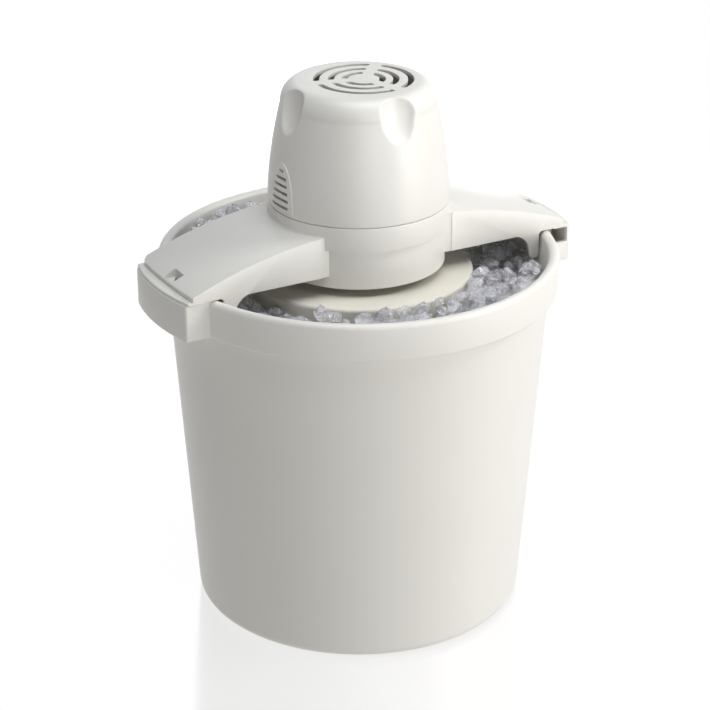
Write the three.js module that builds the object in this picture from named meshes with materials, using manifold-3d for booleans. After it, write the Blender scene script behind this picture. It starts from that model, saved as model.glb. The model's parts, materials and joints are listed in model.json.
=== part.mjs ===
// Ice cream freezer with an ice bucket, a turning canister, a still dasher and a lift-off motor bridge.
// Millimetres, +Z up. The origin is the centre of the bucket's foot, +X runs along the bridge.
import * as THREE from "three";
import { mergeVertices } from "three/addons/utils/BufferGeometryUtils.js";
import Module from "manifold-3d";

const wasm = await Module();
wasm.setup();

// Fits
const seatGap = 0.3; // between faces that rest on each other
const runningGap = 0.4; // between round faces that turn in each other
const backlash = 0.5; // taken off each gear tooth at the pitch circle

// Bucket
const footRadius = 120.2; // outer wall, produced down to the floor
const footFillet = 7.5;
const footRingWidth = 7;
const footRingHeight = 3;
const floorThickness = 3.5;
const wallInset = 6.3; // outer wall inside the skirt's face, at the skirt's lower edge
const wallAtFloor = 2.6;
const skirtHeight = 26.7;
const skirtThickness = 3;
const rimTop = 269.5;
const rimRadius = 143;
const rimWidth = 7.4;
const pivotRadius = 8;
const pivotHeight = 11.3;
const pivotShoulder = 0.7; // its radii, as shares of its foot's
const pivotPoint = 0.4;
const pivotCrown = 1.5;

// Ears of the bucket, which carry the bridge
const earDepth = 17; // how far they stand out beyond the rim
const earWall = 3;
const earHalfWidth = 40;
const earBand = 6.5; // its flat top edge, which carries the arm's tip
const earWindowWall = 7.5; // from the window's outer end to the ear's end face
const earWindowDrop = 12; // its sill, below the rim's top

// Canister and lid
const canisterWall = 1;
const canisterRadius = 76; // outside, at the mouth
const canisterDraft = 2; // how much narrower it is at the floor
const canisterRound = 3; // at the edge of its floor
const canisterClearUnder = 5.5;
const canisterBelowRim = 19.5;
const canisterBead = 3;
const lidRise = 5; // the lid's top above the canister's mouth
const lidThickness = 2.8;
const lidSkirt = 18;
const lidWall = 2.6;
const lidEdgeRound = 2.5;
const lidNotches = 4;
const lidNotchAngle = -47; // degrees from +X of the notch that shows
const lidNotchWidth = 9;
const lidNotchHeight = 5;
const plugDepth = 9;
const hexAcross = 34;
const hexHeight = 16;
const stemHoleGap = 1; // between the lid's hole and the stem's corners

// Dasher
const stemSide = 12;
const stemEngagement = 16.4; // length of stem in its socket
const dasherThickness = 5;
const dasherBar = 8;
const dasherHeadroom = 3.2; // under the lid's plug
const dasherLift = 2; // frame above the hub's underside
const dasherBays = 3;
const dasherHubRadius = 14;
const dasherHubHeight = 17;
const scraperWidth = 5.7;
const scraperThickness = 2.4;
const scraperGap = 1; // to the canister's wall at its floor

// Bridge: bell, collar, deck and arms
const bellRadius = 61.7;
const bellHeight = 28.5;
const bellWall = 2.5;
const collarStep = 2.6; // the collar stands out beyond the bell
const collarHeight = 17.5;
const collarWall = 5.5;
const lipHeight = 4;
const lipWall = 2.6;
const deckThickness = 3;
const driveRise = 18.5; // the collar's underside above the lid's hexagon
const armHalfWidth = 41.5;
const armWall = 2.5;
const armRootReach = 52.5; // the arm is a little narrower up to here
const armRootInset = 0.6;
const armTipInset = 2.5; // from the far end of the ear's mouth to the end of the top plate
const armTipThickness = 3.8;
const armFlange = 1.7; // thickness of the step that lies on the ear's edge
const armFlangeInset = 0.8; // from the ear's end face
const armCrestRise = 10.3; // highest point of the arm's curved top, above the collar's underside
const armCrestAt = 28; // its distance from the axis
const armInnerFillet = 11;
const legDrop = 19.1;
const legWidth = 10.3;
const legGap = 0.9; // to the bucket's wall
const archClearance = 0.8;
const archRadius = 3;
const coreHole = [9, 14]; // moulding holes in the arm tops
const coreHoleInset = 5.4; // from the arm's tip
const coreHoleShift = 2; // off the arm's middle
const tongueThickness = 3;
const tongueWidth = 20;
const tongueInset = 5;
const tongueDrop = 10.5;

// Motor cover
const coverHeight = 86;
const coverWall = 2.5;
const coverShoulderDrop = 15;
const coverShoulderInset = 9.5; // from the collar's radius
const coverCrownInset = 11.8; // from the shoulder's radius
const coverBulge = 1.76; // exponent of the wall's curve
const grilleShift = 4; // the grille's centre lies off the axis
const grilleRings = [
  [10.9, 15.5],
  [20.4, 24.9],
  [30.7, 35.1],
];
const grilleSpokes = 3;
const grilleSpokeAngle = 46.7;
const grilleSpokeWidth = 8;
const louvres = 6;
const louvreRise = 7; // the lowest louvre above the collar's top
const louvrePitch = 5;
const louvreHeight = 2;
const louvreHalfWidth = 10.5;
const louvreTaper = 1;
const dimpleAngles = [0, 90, 180, 270];
const dimpleRadii = [19.5, 20, 31.5]; // of the ball that scoops it: outwards, across, up
const dimpleDrop = 1; // the ball's middle below the cover's top
const dimpleOffset = 10.9; // its middle outside the shoulder's radius
const dimpleWall = 2; // thickness of the cover behind it

// Screw columns that clamp the deck, gear plate and cover
const columnInset = 3.8; // from the inside of the collar
const columnRadius = 4.5;
const columnCount = 4;
const screwRadius = 1.5;
const screwHeadRadius = 3.3;
const screwHeadHeight = 2.6;
const screwHoleRadius = 1.9;
const screwBite = 21.5; // length of screw in the cover's boss
const screwRoom = 2; // hole beyond the screw's end
const bossHeight = 37;

// Gear train
const gearModule = 1;
const pressureAngle = 20;
const rootDepth = 1.25; // in modules
const tipSlope = 1.4; // in modules
const outputTeeth = 48;
const idlerPinionTeeth = 12;
const idlerWheelTeeth = 50;
const motorPinionTeeth = outputTeeth + idlerPinionTeeth - idlerWheelTeeth;
const outputFace = 8;
const outputWeb = 4;
const wheelFace = 6;
const outputBore = 11;
const neckRadius = 18;
const neckRecess = 2; // round the screws in the output gear
const couplerRadius = 24;
const couplerEdge = 1.5;
const driveGap = 2.6; // above the lid, and above its hexagon
const hexRoom = 2;
const bushWall = 2;
const bushFlange = 3;
const bushFlangeThickness = 5.9;
const socketGap = 0.6; // between the still socket and the turning coupler
const socketRoom = 1.6; // above the stem's end
const socketHubWidth = 4;
const bracketThickness = 2.5;
const bracketInset = 12.8; // from the inside of the collar
const bracketEar = 5;
const bracketPostInset = 0.5;
const bracketPosts = [90, 210, 330];
const bracketGap = 1; // above the output gear
const wheelGap = 0.9; // above the bracket
const plateGap = 1.5; // above the idler wheel
const idlerHubRadius = 5.5;
const idlerNotchGap = 2.5;
const pinRadius = 2;
const smallScrewRadius = 1.05;
const smallScrewLength = 9;
const smallScrewGap = 0.2;
const gearPlateThickness = 2;
const gearPlateInset = 1.3; // from the inside of the collar

// Motor
const shaftRadius = 2.5;
const shaftPast = 2; // beyond the fan
const bushRadius = 6.5;
const bushLength = 5.5;
const bushDrop = 0.4; // lower bush below the gear plate
const bushLift = 0.2; // upper bush above the stator
const statorStand = 9;
const statorHeight = 26;
const statorHalfWidth = 31;
const statorCheek = 8.8; // in front of the rotor
const boltInset = 5;
const boltRadius = 1.8;
const windowInset = 11;
const windowDepth = 12;
const coreLimb = 12;
const rotorRadius = 14.6;
const rotorInset = 1;
const airGap = 0.6;
const coilInset = 3; // from the window's ends
const coilThickness = 8;
const coilOverhang = 6;
const coilGap = 0.6; // to the cover
const strapWidth = 14;
const strapThickness = 3;
const fanGap = 12.7; // above the strap
const fanHeight = 12;
const fanRadius = 36;
const fanHub = 7;
const fanBlades = 7;
const bladeThickness = 1.6;
const bladePitch = 32;
const glandRadius = 5;
const glandWall = 1.8;
const glandFlange = 7.5;
const glandFlangeThickness = 2;
const glandEdge = 0.6;
const glandPast = 2; // inside the collar

// Facet counts
const bigFacets = 48;
const midFacets = 24;
const smallFacets = 8;

const past = 1; // how far a cutting shape runs beyond what it cuts

// Sizes that follow: bucket, canister and lid
const degrees = Math.PI / 180;
const skirtBottom = rimTop - skirtHeight;
const floorTop = footRingHeight + floorThickness;
const pivotTop = floorTop + pivotHeight;
const rimInner = rimRadius - rimWidth;
const innerFoot = footRadius - wallAtFloor;
const canisterBottom = floorTop + canisterClearUnder;
const canisterFloor = canisterBottom + canisterWall;
const canisterTop = rimTop - canisterBelowRim;
const canisterFoot = canisterRadius - canisterDraft;
const lidTop = canisterTop + lidRise;
const lidUnderside = lidTop - lidThickness;
const lidRadius = canisterRadius + canisterBead + runningGap + lidWall;
const hexTop = lidTop + hexHeight;
const stemHole = stemSide / Math.SQRT2 + stemHoleGap;
const scraperReach = canisterFoot - canisterWall - scraperGap;
const dasherHalfWidth = scraperReach - scraperWidth - seatGap;
const dasherTop = lidUnderside - plugDepth - dasherHeadroom;

// Bridge and ears
const collarBottom = hexTop + driveRise;
const collarTop = collarBottom + collarHeight;
const collarRadius = bellRadius + collarStep;
const collarInner = collarRadius - collarWall;
const bellInner = bellRadius - bellWall;
const bellBottom = collarBottom - bellHeight;
const deckTop = collarBottom + deckThickness;
const earReach = rimRadius + earDepth;
const earMouthReach = earReach - earBand;
const earMouthHalfWidth = earHalfWidth - earBand;
const armReach = earMouthReach - armTipInset;
const flangeReach = earReach - armFlangeInset;
const earInner = Math.sqrt((rimRadius - skirtThickness) ** 2 - earHalfWidth ** 2) - past;
const armSeat = rimTop + seatGap;
const armCrest = collarBottom + armCrestRise;
const armFall = armCrest - armSeat - armTipThickness;
const armTopRadius = ((armReach - armCrestAt) ** 2 + armFall ** 2) / (2 * armFall);
const legBottom = rimTop - legDrop;
const legOuter = Math.sqrt((innerWall(legBottom) - legGap) ** 2 - armHalfWidth ** 2);
const legInner = legOuter - legWidth;
const archTop = rimTop + archClearance;

// Drive, from the lid up to the gear plate
const couplerBottom = lidTop + driveGap;
const couplerShoulder = collarBottom - bushFlangeThickness - 2 * seatGap;
const socketRadius = outputBore - socketGap;
const socketBottom = hexTop + driveGap;
const stemTop = socketBottom + stemEngagement;
const gearDistance = (gearModule * (outputTeeth + idlerPinionTeeth)) / 2;
const idlerAt = [0, -gearDistance];
const outputBottom = deckTop + 2 * seatGap;
const outputTop = outputBottom + outputFace;
const webTop = outputBottom + outputWeb;
const bracketBottom = outputTop + bracketGap;
const bracketTop = bracketBottom + bracketThickness;
const bracketCircle = collarInner - bracketInset;
const wheelBottom = bracketTop + wheelGap;
const wheelTop = wheelBottom + wheelFace;
const gearPlateBottom = wheelTop + plateGap;
const gearPlateTop = gearPlateBottom + gearPlateThickness;
const gearPlateRadius = collarInner - gearPlateInset;
const columnCircle = collarInner - columnInset;
const coverScrewLength = gearPlateTop - collarBottom + screwBite;

// Motor and cover
const coverTop = collarTop + coverHeight;
const coverShoulderHeight = coverTop - coverShoulderDrop;
const coverShoulderRadius = collarRadius - coverShoulderInset;
const coverTopRadius = coverShoulderRadius - coverCrownInset;
const statorBottom = gearPlateTop + statorStand;
const statorTop = statorBottom + statorHeight;
const statorFront = rotorRadius + airGap + statorCheek;
const windowHalfWidth = statorHalfWidth - windowInset;
const coilHalfWidth = windowHalfWidth - coilInset;
const coilRoom = coverRadius(statorTop + coilOverhang) - coverWall - coilGap;
const coilBack = Math.sqrt(coilRoom ** 2 - coilHalfWidth ** 2);
const statorBack = coilBack - coilThickness + seatGap;
const limbFront = statorBack - coreLimb;
const windowFront = limbFront - windowDepth;
const boltSpan = statorHalfWidth - boltInset;
const strapBottom = statorTop + seatGap;
const strapTop = strapBottom + strapThickness;
const fanBottom = strapTop + fanGap;
const fanTop = fanBottom + fanHeight;
const shaftTop = fanTop + shaftPast;

// A geometry as a solid that can be cut and joined.
function solid(geometry) {
  const flat = geometry.index ? geometry.toNonIndexed() : geometry;
  const bare = new THREE.BufferGeometry();
  bare.setAttribute("position", flat.getAttribute("position").clone());
  const merged = mergeVertices(bare, 1e-4);
  const mesh = new wasm.Mesh({
    numProp: 3,
    vertProperties: merged.attributes.position.array,
    triVerts: new Uint32Array(merged.index.array),
  });
  return new wasm.Manifold(mesh);
}

// A solid as a three.js geometry.
function geometryOf(body) {
  const mesh = body.getMesh();
  const geometry = new THREE.BufferGeometry();
  geometry.setAttribute("position", new THREE.BufferAttribute(mesh.vertProperties, 3));
  geometry.setIndex(new THREE.BufferAttribute(mesh.triVerts, 1));
  geometry.computeVertexNormals();
  return geometry;
}

function joined(bodies) {
  return bodies.reduce((all, body) => all.add(body));
}

function cut(body, tools) {
  return tools.reduce((left, tool) => left.subtract(tool), body);
}

// A profile of [radius, height] points turned about Z, with its outer side going up.
function turned(profile, facets = midFacets) {
  const points = profile.map(([r, z]) => new THREE.Vector2(r, z));
  return solid(new THREE.LatheGeometry(points, facets).rotateX(Math.PI / 2));
}

function closedProfile(profile) {
  return [...profile, profile[0]];
}

function cylinder(radius, bottom, top, facets = midFacets) {
  const profile = [
    [0, bottom],
    [radius, bottom],
    [radius, top],
    [0, top],
  ];
  return turned(profile, facets);
}

function tube(inner, outer, bottom, top, facets = midFacets) {
  const profile = [
    [inner, bottom],
    [outer, bottom],
    [outer, top],
    [inner, top],
  ];
  return turned(closedProfile(profile), facets);
}

// A block between two corners.
function block(low, high) {
  const size = high.map((value, axis) => value - low[axis]);
  const middle = high.map((value, axis) => (value + low[axis]) / 2);
  return solid(new THREE.BoxGeometry(...size).translate(...middle));
}

// A closed shape through a list of points.
function polygon(points) {
  return new THREE.Shape(points.map(([x, y]) => new THREE.Vector2(x, y)));
}

// A shape in the XY plane, raised from one height to another.
function raised(shape, bottom, top) {
  const options = { depth: top - bottom, bevelEnabled: false };
  return solid(new THREE.ExtrudeGeometry(shape, options).translate(0, 0, bottom));
}

// A shape drawn as (x, height), spread along Y from one value to another.
function spread(shape, front, back) {
  const options = { depth: back - front, bevelEnabled: false };
  const geometry = new THREE.ExtrudeGeometry(shape, options).rotateX(Math.PI / 2);
  return solid(geometry.translate(0, back, 0));
}

// The body, moved to a place in plan and raised.
function moved(body, [x, y], z = 0) {
  return body.translate([x, y, z]);
}

// A small round cutter or post that stands at a place in plan.
function standing(radius, bottom, top, place) {
  return moved(cylinder(radius, bottom, top, smallFacets), place);
}

function turnedAbout(body, angle) {
  return body.rotate([0, 0, angle]);
}

// The body and its copy half a turn on, about the upright axis.
function bothSides(body) {
  return [body, turnedAbout(body, 180)];
}

function polar(radius, angle) {
  return [radius * Math.cos(angle * degrees), radius * Math.sin(angle * degrees)];
}

// Points of an arc in a profile, from one angle to another in degrees.
function arc(centre, radii, from, to, steps) {
  const [across, up] = Array.isArray(radii) ? radii : [radii, radii];
  return Array.from({ length: steps + 1 }, (_, i) => {
    const angle = (from + ((to - from) * i) / steps) * degrees;
    return [centre[0] + across * Math.cos(angle), centre[1] + up * Math.sin(angle)];
  });
}

// Materials
function plastic(color, roughness = 0.42) {
  return new THREE.MeshStandardMaterial({ color, roughness, metalness: 0 });
}

function metal(color, roughness = 0.35) {
  return new THREE.MeshStandardMaterial({ color, roughness, metalness: 1 });
}

const shellWhite = plastic(0xe9e6df);
const lidCream = plastic(0xe6e2cf);
const gearNylon = plastic(0xefe9d8, 0.5);
const dasherWhite = plastic(0xf1efe9, 0.5);
const blackRubber = plastic(0x1d1d1f, 0.7);
const aluminium = metal(0xc9cbcd, 0.38);
const steel = metal(0xb4b6b8, 0.3);
const bronze = metal(0xb08d57, 0.4);
const laminations = metal(0x6f7276, 0.55);
const copper = metal(0xb4622e, 0.4);

const machine = new THREE.Group();

function add(name, body, material) {
  const mesh = new THREE.Mesh(geometryOf(body), material);
  mesh.name = name;
  machine.add(mesh);
}

// The bucket's outer wall widens evenly from the foot.
function outerWall(height) {
  return footRadius + ((rimRadius - wallInset - footRadius) * height) / skirtBottom;
}

// Its inner wall widens evenly from the floor's fillet to the rim.
function innerWall(height) {
  const bottom = floorTop + footFillet;
  const top = rimTop - rimWidth / 2;
  return innerFoot + ((rimInner - innerFoot) * (height - bottom)) / (top - bottom);
}

// Plan of an ear: two straight sides and a round outer edge.
function earPlan(inner, reach, halfWidth) {
  const end = Math.asin(halfWidth / reach) / degrees;
  return polygon([[inner, -halfWidth], ...arc([0, 0], reach, -end, end, 10), [inner, halfWidth]]);
}

function bucketShell() {
  const rimRound = rimWidth / 2;
  const rimCentre = [rimRadius - rimRound, rimTop - rimRound];
  const rollTop = rimCentre[1] - rimRound / 3;
  const ringInner = footRadius - footFillet - footRingWidth;
  const skirtInner = rimRadius - skirtThickness;
  return turned(
    [
      [0, footRingHeight],
      [ringInner - footRingHeight, footRingHeight],
      [ringInner, 0],
      ...arc([footRadius - footFillet, footFillet], footFillet, -90, 0, 3),
      [outerWall(rollTop), rollTop],
      [skirtInner, rollTop],
      [skirtInner, skirtBottom],
      [rimRadius, skirtBottom],
      ...arc(rimCentre, rimRound, 0, 180, 6),
      [innerFoot, floorTop + footFillet],
      [innerFoot - footFillet / 3, floorTop + footFillet / 3],
      [innerFoot - footFillet, floorTop],
      [pivotRadius, floorTop],
      [pivotRadius * pivotShoulder, pivotTop - pivotCrown],
      [pivotRadius * pivotPoint, pivotTop],
      [0, pivotTop],
    ],
    bigFacets,
  );
}

function ear() {
  const underBand = rimTop - earWall;
  const skirtInner = rimRadius - skirtThickness;
  const outline = earPlan(earInner, earReach, earHalfWidth);
  const pocket = earPlan(earInner, earReach - earWall, earHalfWidth - earWall);
  const mouth = earPlan(earInner, earMouthReach, earMouthHalfWidth);
  const skirtFace = cylinder(rimRadius, skirtBottom, rimTop, bigFacets);
  const hollow = raised(pocket, skirtBottom + earWall, underBand)
    .add(raised(mouth, underBand, rimTop + past))
    .subtract(skirtFace);
  const window = block(
    [earInner - past, -earHalfWidth - past, rimTop - earWindowDrop],
    [earReach - earWindowWall, -earMouthHalfWidth, rimTop + past],
  );
  const rimSpace = cylinder(skirtInner, skirtBottom - past, rimTop + past, bigFacets);
  return cut(raised(outline, skirtBottom, rimTop), [hollow, window, rimSpace]);
}

function bucket() {
  return joined([bucketShell(), ...bothSides(ear())]);
}

function canister() {
  const dimple = pivotRadius + runningGap;
  const dimpleTop = pivotTop + seatGap;
  const shoulder = pivotRadius * pivotShoulder + runningGap;
  const lipRadius = canisterRadius + canisterBead;
  const inner = canisterFoot - canisterWall;
  return turned(
    [
      [0, dimpleTop],
      [shoulder, dimpleTop],
      [dimple, canisterBottom],
      [canisterFoot - canisterRound, canisterBottom],
      [canisterFoot, canisterBottom + canisterRound],
      [canisterRadius, canisterTop - canisterBead],
      [lipRadius, canisterTop - canisterBead],
      [lipRadius, canisterTop],
      [canisterRadius - canisterWall, canisterTop],
      [inner, canisterFloor + canisterRound],
      [inner - canisterRound, canisterFloor],
      [dimple + canisterWall, canisterFloor],
      [shoulder + canisterWall, dimpleTop + canisterWall],
      [0, dimpleTop + canisterWall],
    ],
    bigFacets,
  );
}

function canisterLid() {
  const skirtInner = lidRadius - lidWall;
  const skirtEnd = lidTop - lidSkirt;
  const seat = canisterTop + seatGap;
  const plugOuter = canisterRadius - canisterWall - runningGap;
  const plugInner = plugOuter - lidWall;
  const plugBottom = lidUnderside - plugDepth;
  const edge = arc([lidRadius - lidEdgeRound, lidTop - lidEdgeRound], lidEdgeRound, 0, 90, 3);
  const dish = turned(
    closedProfile([
      [stemHole, lidUnderside],
      [plugInner, lidUnderside],
      [plugInner, plugBottom],
      [plugOuter, plugBottom],
      [plugOuter, seat],
      [skirtInner, seat],
      [skirtInner, skirtEnd],
      [lidRadius, skirtEnd],
      ...edge,
      [stemHole, lidTop],
    ]),
    bigFacets,
  );
  const boss = cylinder(hexCorner(hexAcross), lidUnderside, hexTop, 6);
  const hole = cylinder(stemHole, lidUnderside - past, hexTop + past, midFacets);
  const notches = Array.from({ length: lidNotches }, (_, i) => {
    const low = [skirtInner - past, -lidNotchWidth / 2, skirtEnd - past];
    const high = [lidRadius + past, lidNotchWidth / 2, skirtEnd + lidNotchHeight];
    return turnedAbout(block(low, high), lidNotchAngle + (360 / lidNotches) * i);
  });
  return cut(joined([dish, boss]), [hole, ...notches]);
}

// Radius of a hexagon's corners, from its width across flats.
function hexCorner(across) {
  return across / 2 / Math.cos(30 * degrees);
}

function dasherFrame() {
  const bottom = canisterFloor + seatGap;
  const frameBottom = bottom + dasherLift;
  const halfThick = dasherThickness / 2;
  const half = stemSide / 2;
  const plate = block([-dasherHalfWidth, -halfThick, frameBottom], [dasherHalfWidth, halfThick, dasherTop]);
  const bayHeight = (dasherTop - frameBottom - dasherBar) / dasherBays;
  const bays = Array.from({ length: dasherBays }, (_, bay) => {
    const low = frameBottom + dasherBar + bay * bayHeight;
    const high = low + bayHeight - dasherBar;
    return block([half, -dasherThickness, low], [dasherHalfWidth - dasherBar, dasherThickness, high]);
  }).flatMap(bothSides);
  const stem = block([-half, -half, frameBottom], [half, half, stemTop]);
  const hub = cylinder(dasherHubRadius, bottom, bottom + dasherHubHeight);
  const cup = pivotRadius + canisterWall + 2 * runningGap;
  const recess = cylinder(cup, bottom - past, pivotTop + 2 * seatGap + canisterWall);
  return cut(joined([cut(plate, bays), stem, hub]), [recess]);
}

function scraper() {
  const inner = dasherHalfWidth + seatGap;
  const half = scraperThickness / 2;
  const low = [inner, -half, canisterFloor + dasherBar];
  return block(low, [scraperReach, half, dasherTop - dasherBar]);
}

// The arm's curved top, lowered by an inset, between two distances from the axis.
function armTop(inset, outer, inner, steps) {
  const radius = armTopRadius - inset;
  const angleAt = (x) => Math.acos((x - armCrestAt) / radius) / degrees;
  return arc([armCrestAt, armCrest - armTopRadius], radius, angleAt(outer), angleAt(inner), steps);
}

// Side view of one arm, with the leg that hangs inside the bucket and the arch over its rim.
function armSide() {
  const root = bellInner / 2;
  const filletCentre = [legInner - armInnerFillet, armSeat - armInnerFillet];
  const archCentre = [legOuter + archRadius, archTop - archRadius];
  return polygon([
    [root, armSeat],
    ...arc(filletCentre, armInnerFillet, 90, 0, 6),
    [legInner + legWidth / 3, legBottom],
    [legOuter, legBottom],
    ...arc(archCentre, archRadius, 180, 90, 4),
    [rimRadius, archTop],
    [rimRadius + archClearance, armSeat],
    [armReach, armSeat],
    ...armTop(0, armReach, root, 12),
  ]);
}

// What is taken off both sides of the arm near the bell, or off the space inside when it is grown.
function rootSides(grown) {
  const side = armHalfWidth - armRootInset - grown;
  const low = legBottom - past;
  const high = armCrest + past;
  const reach = armRootReach + grown;
  return [
    block([-past, side, low], [reach, armHalfWidth + past, high]),
    block([-past, -armHalfWidth - past, low], [reach, -side, high]),
  ];
}

// The space under the arm's top plate, between its side plates.
function armHollow() {
  const end = legOuter + archRadius;
  const below = legBottom - past;
  const shape = polygon([[0, below], [end, below], ...armTop(armWall, end, 0, 10)]);
  return cut(spread(shape, armWall - armHalfWidth, armHalfWidth - armWall), rootSides(armWall));
}

function arm() {
  const plate = spread(armSide(), -armHalfWidth, armHalfWidth);
  const flangeFace = cylinder(flangeReach, armSeat, armSeat + armFlange, bigFacets);
  const flange = block(
    [earMouthReach - earBand, -armHalfWidth, armSeat],
    [earReach, armHalfWidth, armSeat + armFlange],
  ).intersect(flangeFace);
  const shell = cut(joined([plate, flange]), rootSides(0));
  const [holeLength, holeWidth] = coreHole;
  const holeX = armReach - coreHoleInset;
  const tongueSide = coreHoleShift - holeWidth / 2;
  const tongueX = armReach - tongueInset;
  const hole = block(
    [holeX - holeLength / 2, tongueSide, legBottom],
    [holeX + holeLength / 2, tongueSide + holeWidth, armCrest],
  );
  const tongue = block(
    [tongueX, tongueSide - tongueWidth, rimTop - tongueDrop],
    [tongueX + tongueThickness, tongueSide, armSeat + armTipThickness / 2],
  );
  return joined([cut(shell, [armHollow(), hole]), tongue]);
}

// Places of the screw columns, on the diagonals.
function columnPlaces() {
  return Array.from({ length: columnCount }, (_, i) => polar(columnCircle, 45 + (360 / columnCount) * i));
}

function bracketPlaces() {
  return bracketPosts.map((angle) => polar(bracketCircle, angle));
}

function bridgeHousing() {
  const bore = neckRadius + runningGap + bushWall + seatGap;
  const lipOuter = collarInner + lipWall;
  const lipTop = collarTop + lipHeight;
  const bellEdge = bellWall / 3;
  const ring = turned(
    closedProfile([
      [bore, collarBottom],
      [bellInner, collarBottom],
      [bellInner, bellBottom],
      [bellRadius - bellEdge, bellBottom],
      [bellRadius, bellBottom + bellEdge],
      [bellRadius, collarBottom],
      [collarRadius, collarBottom],
      [collarRadius, collarTop],
      [lipOuter, collarTop],
      [lipOuter, lipTop],
      [collarInner, lipTop],
      [collarInner, deckTop],
      [bore, deckTop],
    ]),
    bigFacets,
  );
  const insideBell = cylinder(bellInner, legBottom - past, collarBottom, bigFacets);
  const insideCollar = cylinder(collarInner, collarBottom - past, lipTop + past, bigFacets);
  const arms = bothSides(cut(arm(), [insideBell, insideCollar]));
  const columnTop = gearPlateBottom - seatGap;
  const postTop = bracketBottom - seatGap;
  const columns = columnPlaces().map((place) => standing(columnRadius, deckTop - past, columnTop, place));
  const posts = bracketPlaces().map((place) => {
    return standing(bracketEar - bracketPostInset, deckTop - past, postTop, place);
  });
  const glandHole = cylinder(glandRadius + seatGap, collarInner - past, collarRadius + past);
  const holes = [
    ...columnPlaces().map((place) => standing(screwHoleRadius, collarBottom - past, gearPlateTop, place)),
    ...bracketPlaces().map((place) => standing(screwRadius + seatGap, deckTop + past, bracketBottom, place)),
    standing(pinRadius + seatGap, collarBottom - past, deckTop + past, idlerAt),
    toCollarBack(glandHole),
  ];
  return cut(joined([ring, ...arms, ...columns, ...posts]), holes);
}

// Radius of the cover's outer wall at a height.
function coverRadius(height) {
  const bottom = collarTop + seatGap;
  const share = (height - bottom) / (coverShoulderHeight - bottom);
  return collarRadius - coverShoulderInset * share ** coverBulge;
}

// Radius and height of the cover's outside, taken in by an inset.
function coverProfile(inset) {
  const steps = 5;
  const bottom = collarTop + seatGap;
  const wall = Array.from({ length: steps + 1 }, (_, i) => {
    const height = bottom + ((coverShoulderHeight - bottom) * i) / steps;
    return [coverRadius(height) - inset, height];
  });
  const across = coverCrownInset - inset;
  const up = coverShoulderDrop - inset;
  const shoulder = arc([coverTopRadius, coverShoulderHeight], [across, up], 0, 90, 4);
  return [...wall, ...shoulder.slice(1)];
}

// One arc-shaped slot of the top grille, with parallel spokes left between the slots.
function grilleSlot([inner, outer], index) {
  const middle = grilleSpokeAngle + (360 / grilleSpokes) * (index + 0.5);
  const reach = 180 / grilleSpokes;
  const outerEnd = reach - grilleSpokeWidth / 2 / outer / degrees;
  const innerEnd = reach - grilleSpokeWidth / 2 / inner / degrees;
  const shape = polygon([
    ...arc([0, 0], outer, middle - outerEnd, middle + outerEnd, 5),
    ...arc([0, 0], inner, middle + innerEnd, middle - innerEnd, 5),
  ]);
  return moved(raised(shape, coverTop - coverWall - past, coverTop + past), [grilleShift, 0]);
}

function coverLouvre(index) {
  const z = collarTop + louvreRise + index * louvrePitch;
  const halfWidth = louvreHalfWidth - index * louvreTaper;
  const inner = coverShoulderRadius - 2 * coverWall;
  return block([inner, -halfWidth, z], [collarRadius + past, halfWidth, z + louvreHeight]);
}

// A scoop in the cover's shoulder, or the bulge behind it when it is grown by the wall.
function dimple(angle, grown) {
  const radii = dimpleRadii.map((radius) => radius + grown);
  const ball = new THREE.SphereGeometry(1, 20, 14).rotateX(Math.PI / 2).scale(...radii);
  ball.translate(coverShoulderRadius + dimpleOffset, 0, coverTop - dimpleDrop);
  return turnedAbout(solid(ball), angle);
}

function motorCover() {
  const inner = coverProfile(coverWall).reverse();
  const outer = coverProfile(0);
  const outside = turned([[0, collarTop + seatGap], ...outer, [0, coverTop]], bigFacets);
  const shell = turned([[0, coverTop - coverWall], ...inner, ...outer, [0, coverTop]], bigFacets);
  const backings = dimpleAngles.map((angle) => dimple(angle, dimpleWall).intersect(outside));
  const bossBottom = gearPlateTop + seatGap;
  const bossTop = gearPlateTop + bossHeight;
  const holeTop = collarBottom + coverScrewLength + screwRoom;
  const bosses = columnPlaces().map((place) => {
    return standing(columnRadius, bossBottom, bossTop, place).intersect(outside);
  });
  const bores = columnPlaces().map((place) => standing(screwHoleRadius, gearPlateTop, holeTop, place));
  const slots = grilleRings.flatMap((ring) => {
    return Array.from({ length: grilleSpokes }, (_, i) => grilleSlot(ring, i));
  });
  const vents = Array.from({ length: louvres }, (_, i) => coverLouvre(i)).flatMap(bothSides);
  const scoops = dimpleAngles.map((angle) => dimple(angle, 0));
  return cut(joined([shell, ...backings, ...bosses]), [...scoops, ...bores, ...slots, ...vents]);
}

// A pan-headed screw standing on its head, shank upwards.
function screw(length, radius = screwRadius) {
  const head = (radius * screwHeadRadius) / screwRadius;
  return turned(
    [
      [0, -screwHeadHeight],
      [head * 0.7, -screwHeadHeight],
      [head, -screwHeadHeight / 2],
      [head, 0],
      [radius, 0],
      [radius, length],
      [0, length],
    ],
    smallFacets,
  );
}

// The same screw, head up, its head seated at a height.
function hangingScrew(length, radius, place, height) {
  return moved(screw(length, radius).rotate([180, 0, 0]), place, height + seatGap);
}

function gearPlate() {
  const below = gearPlateBottom - past;
  const above = gearPlateTop + past;
  const standTop = statorBottom - seatGap;
  const plate = cylinder(gearPlateRadius, gearPlateBottom, gearPlateTop, bigFacets);
  const stands = bothSides(standing(columnRadius, gearPlateTop - past, standTop, [boltSpan, 0]));
  const holes = [
    ...columnPlaces().map((place) => standing(screwHoleRadius, below, above, place)),
    ...boltHoles(below, statorBottom),
    standing(pinRadius + seatGap, below, above, idlerAt),
    cylinder(bushRadius + seatGap, below, above, smallFacets),
  ];
  return cut(joined([plate, ...stands]), holes);
}

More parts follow.
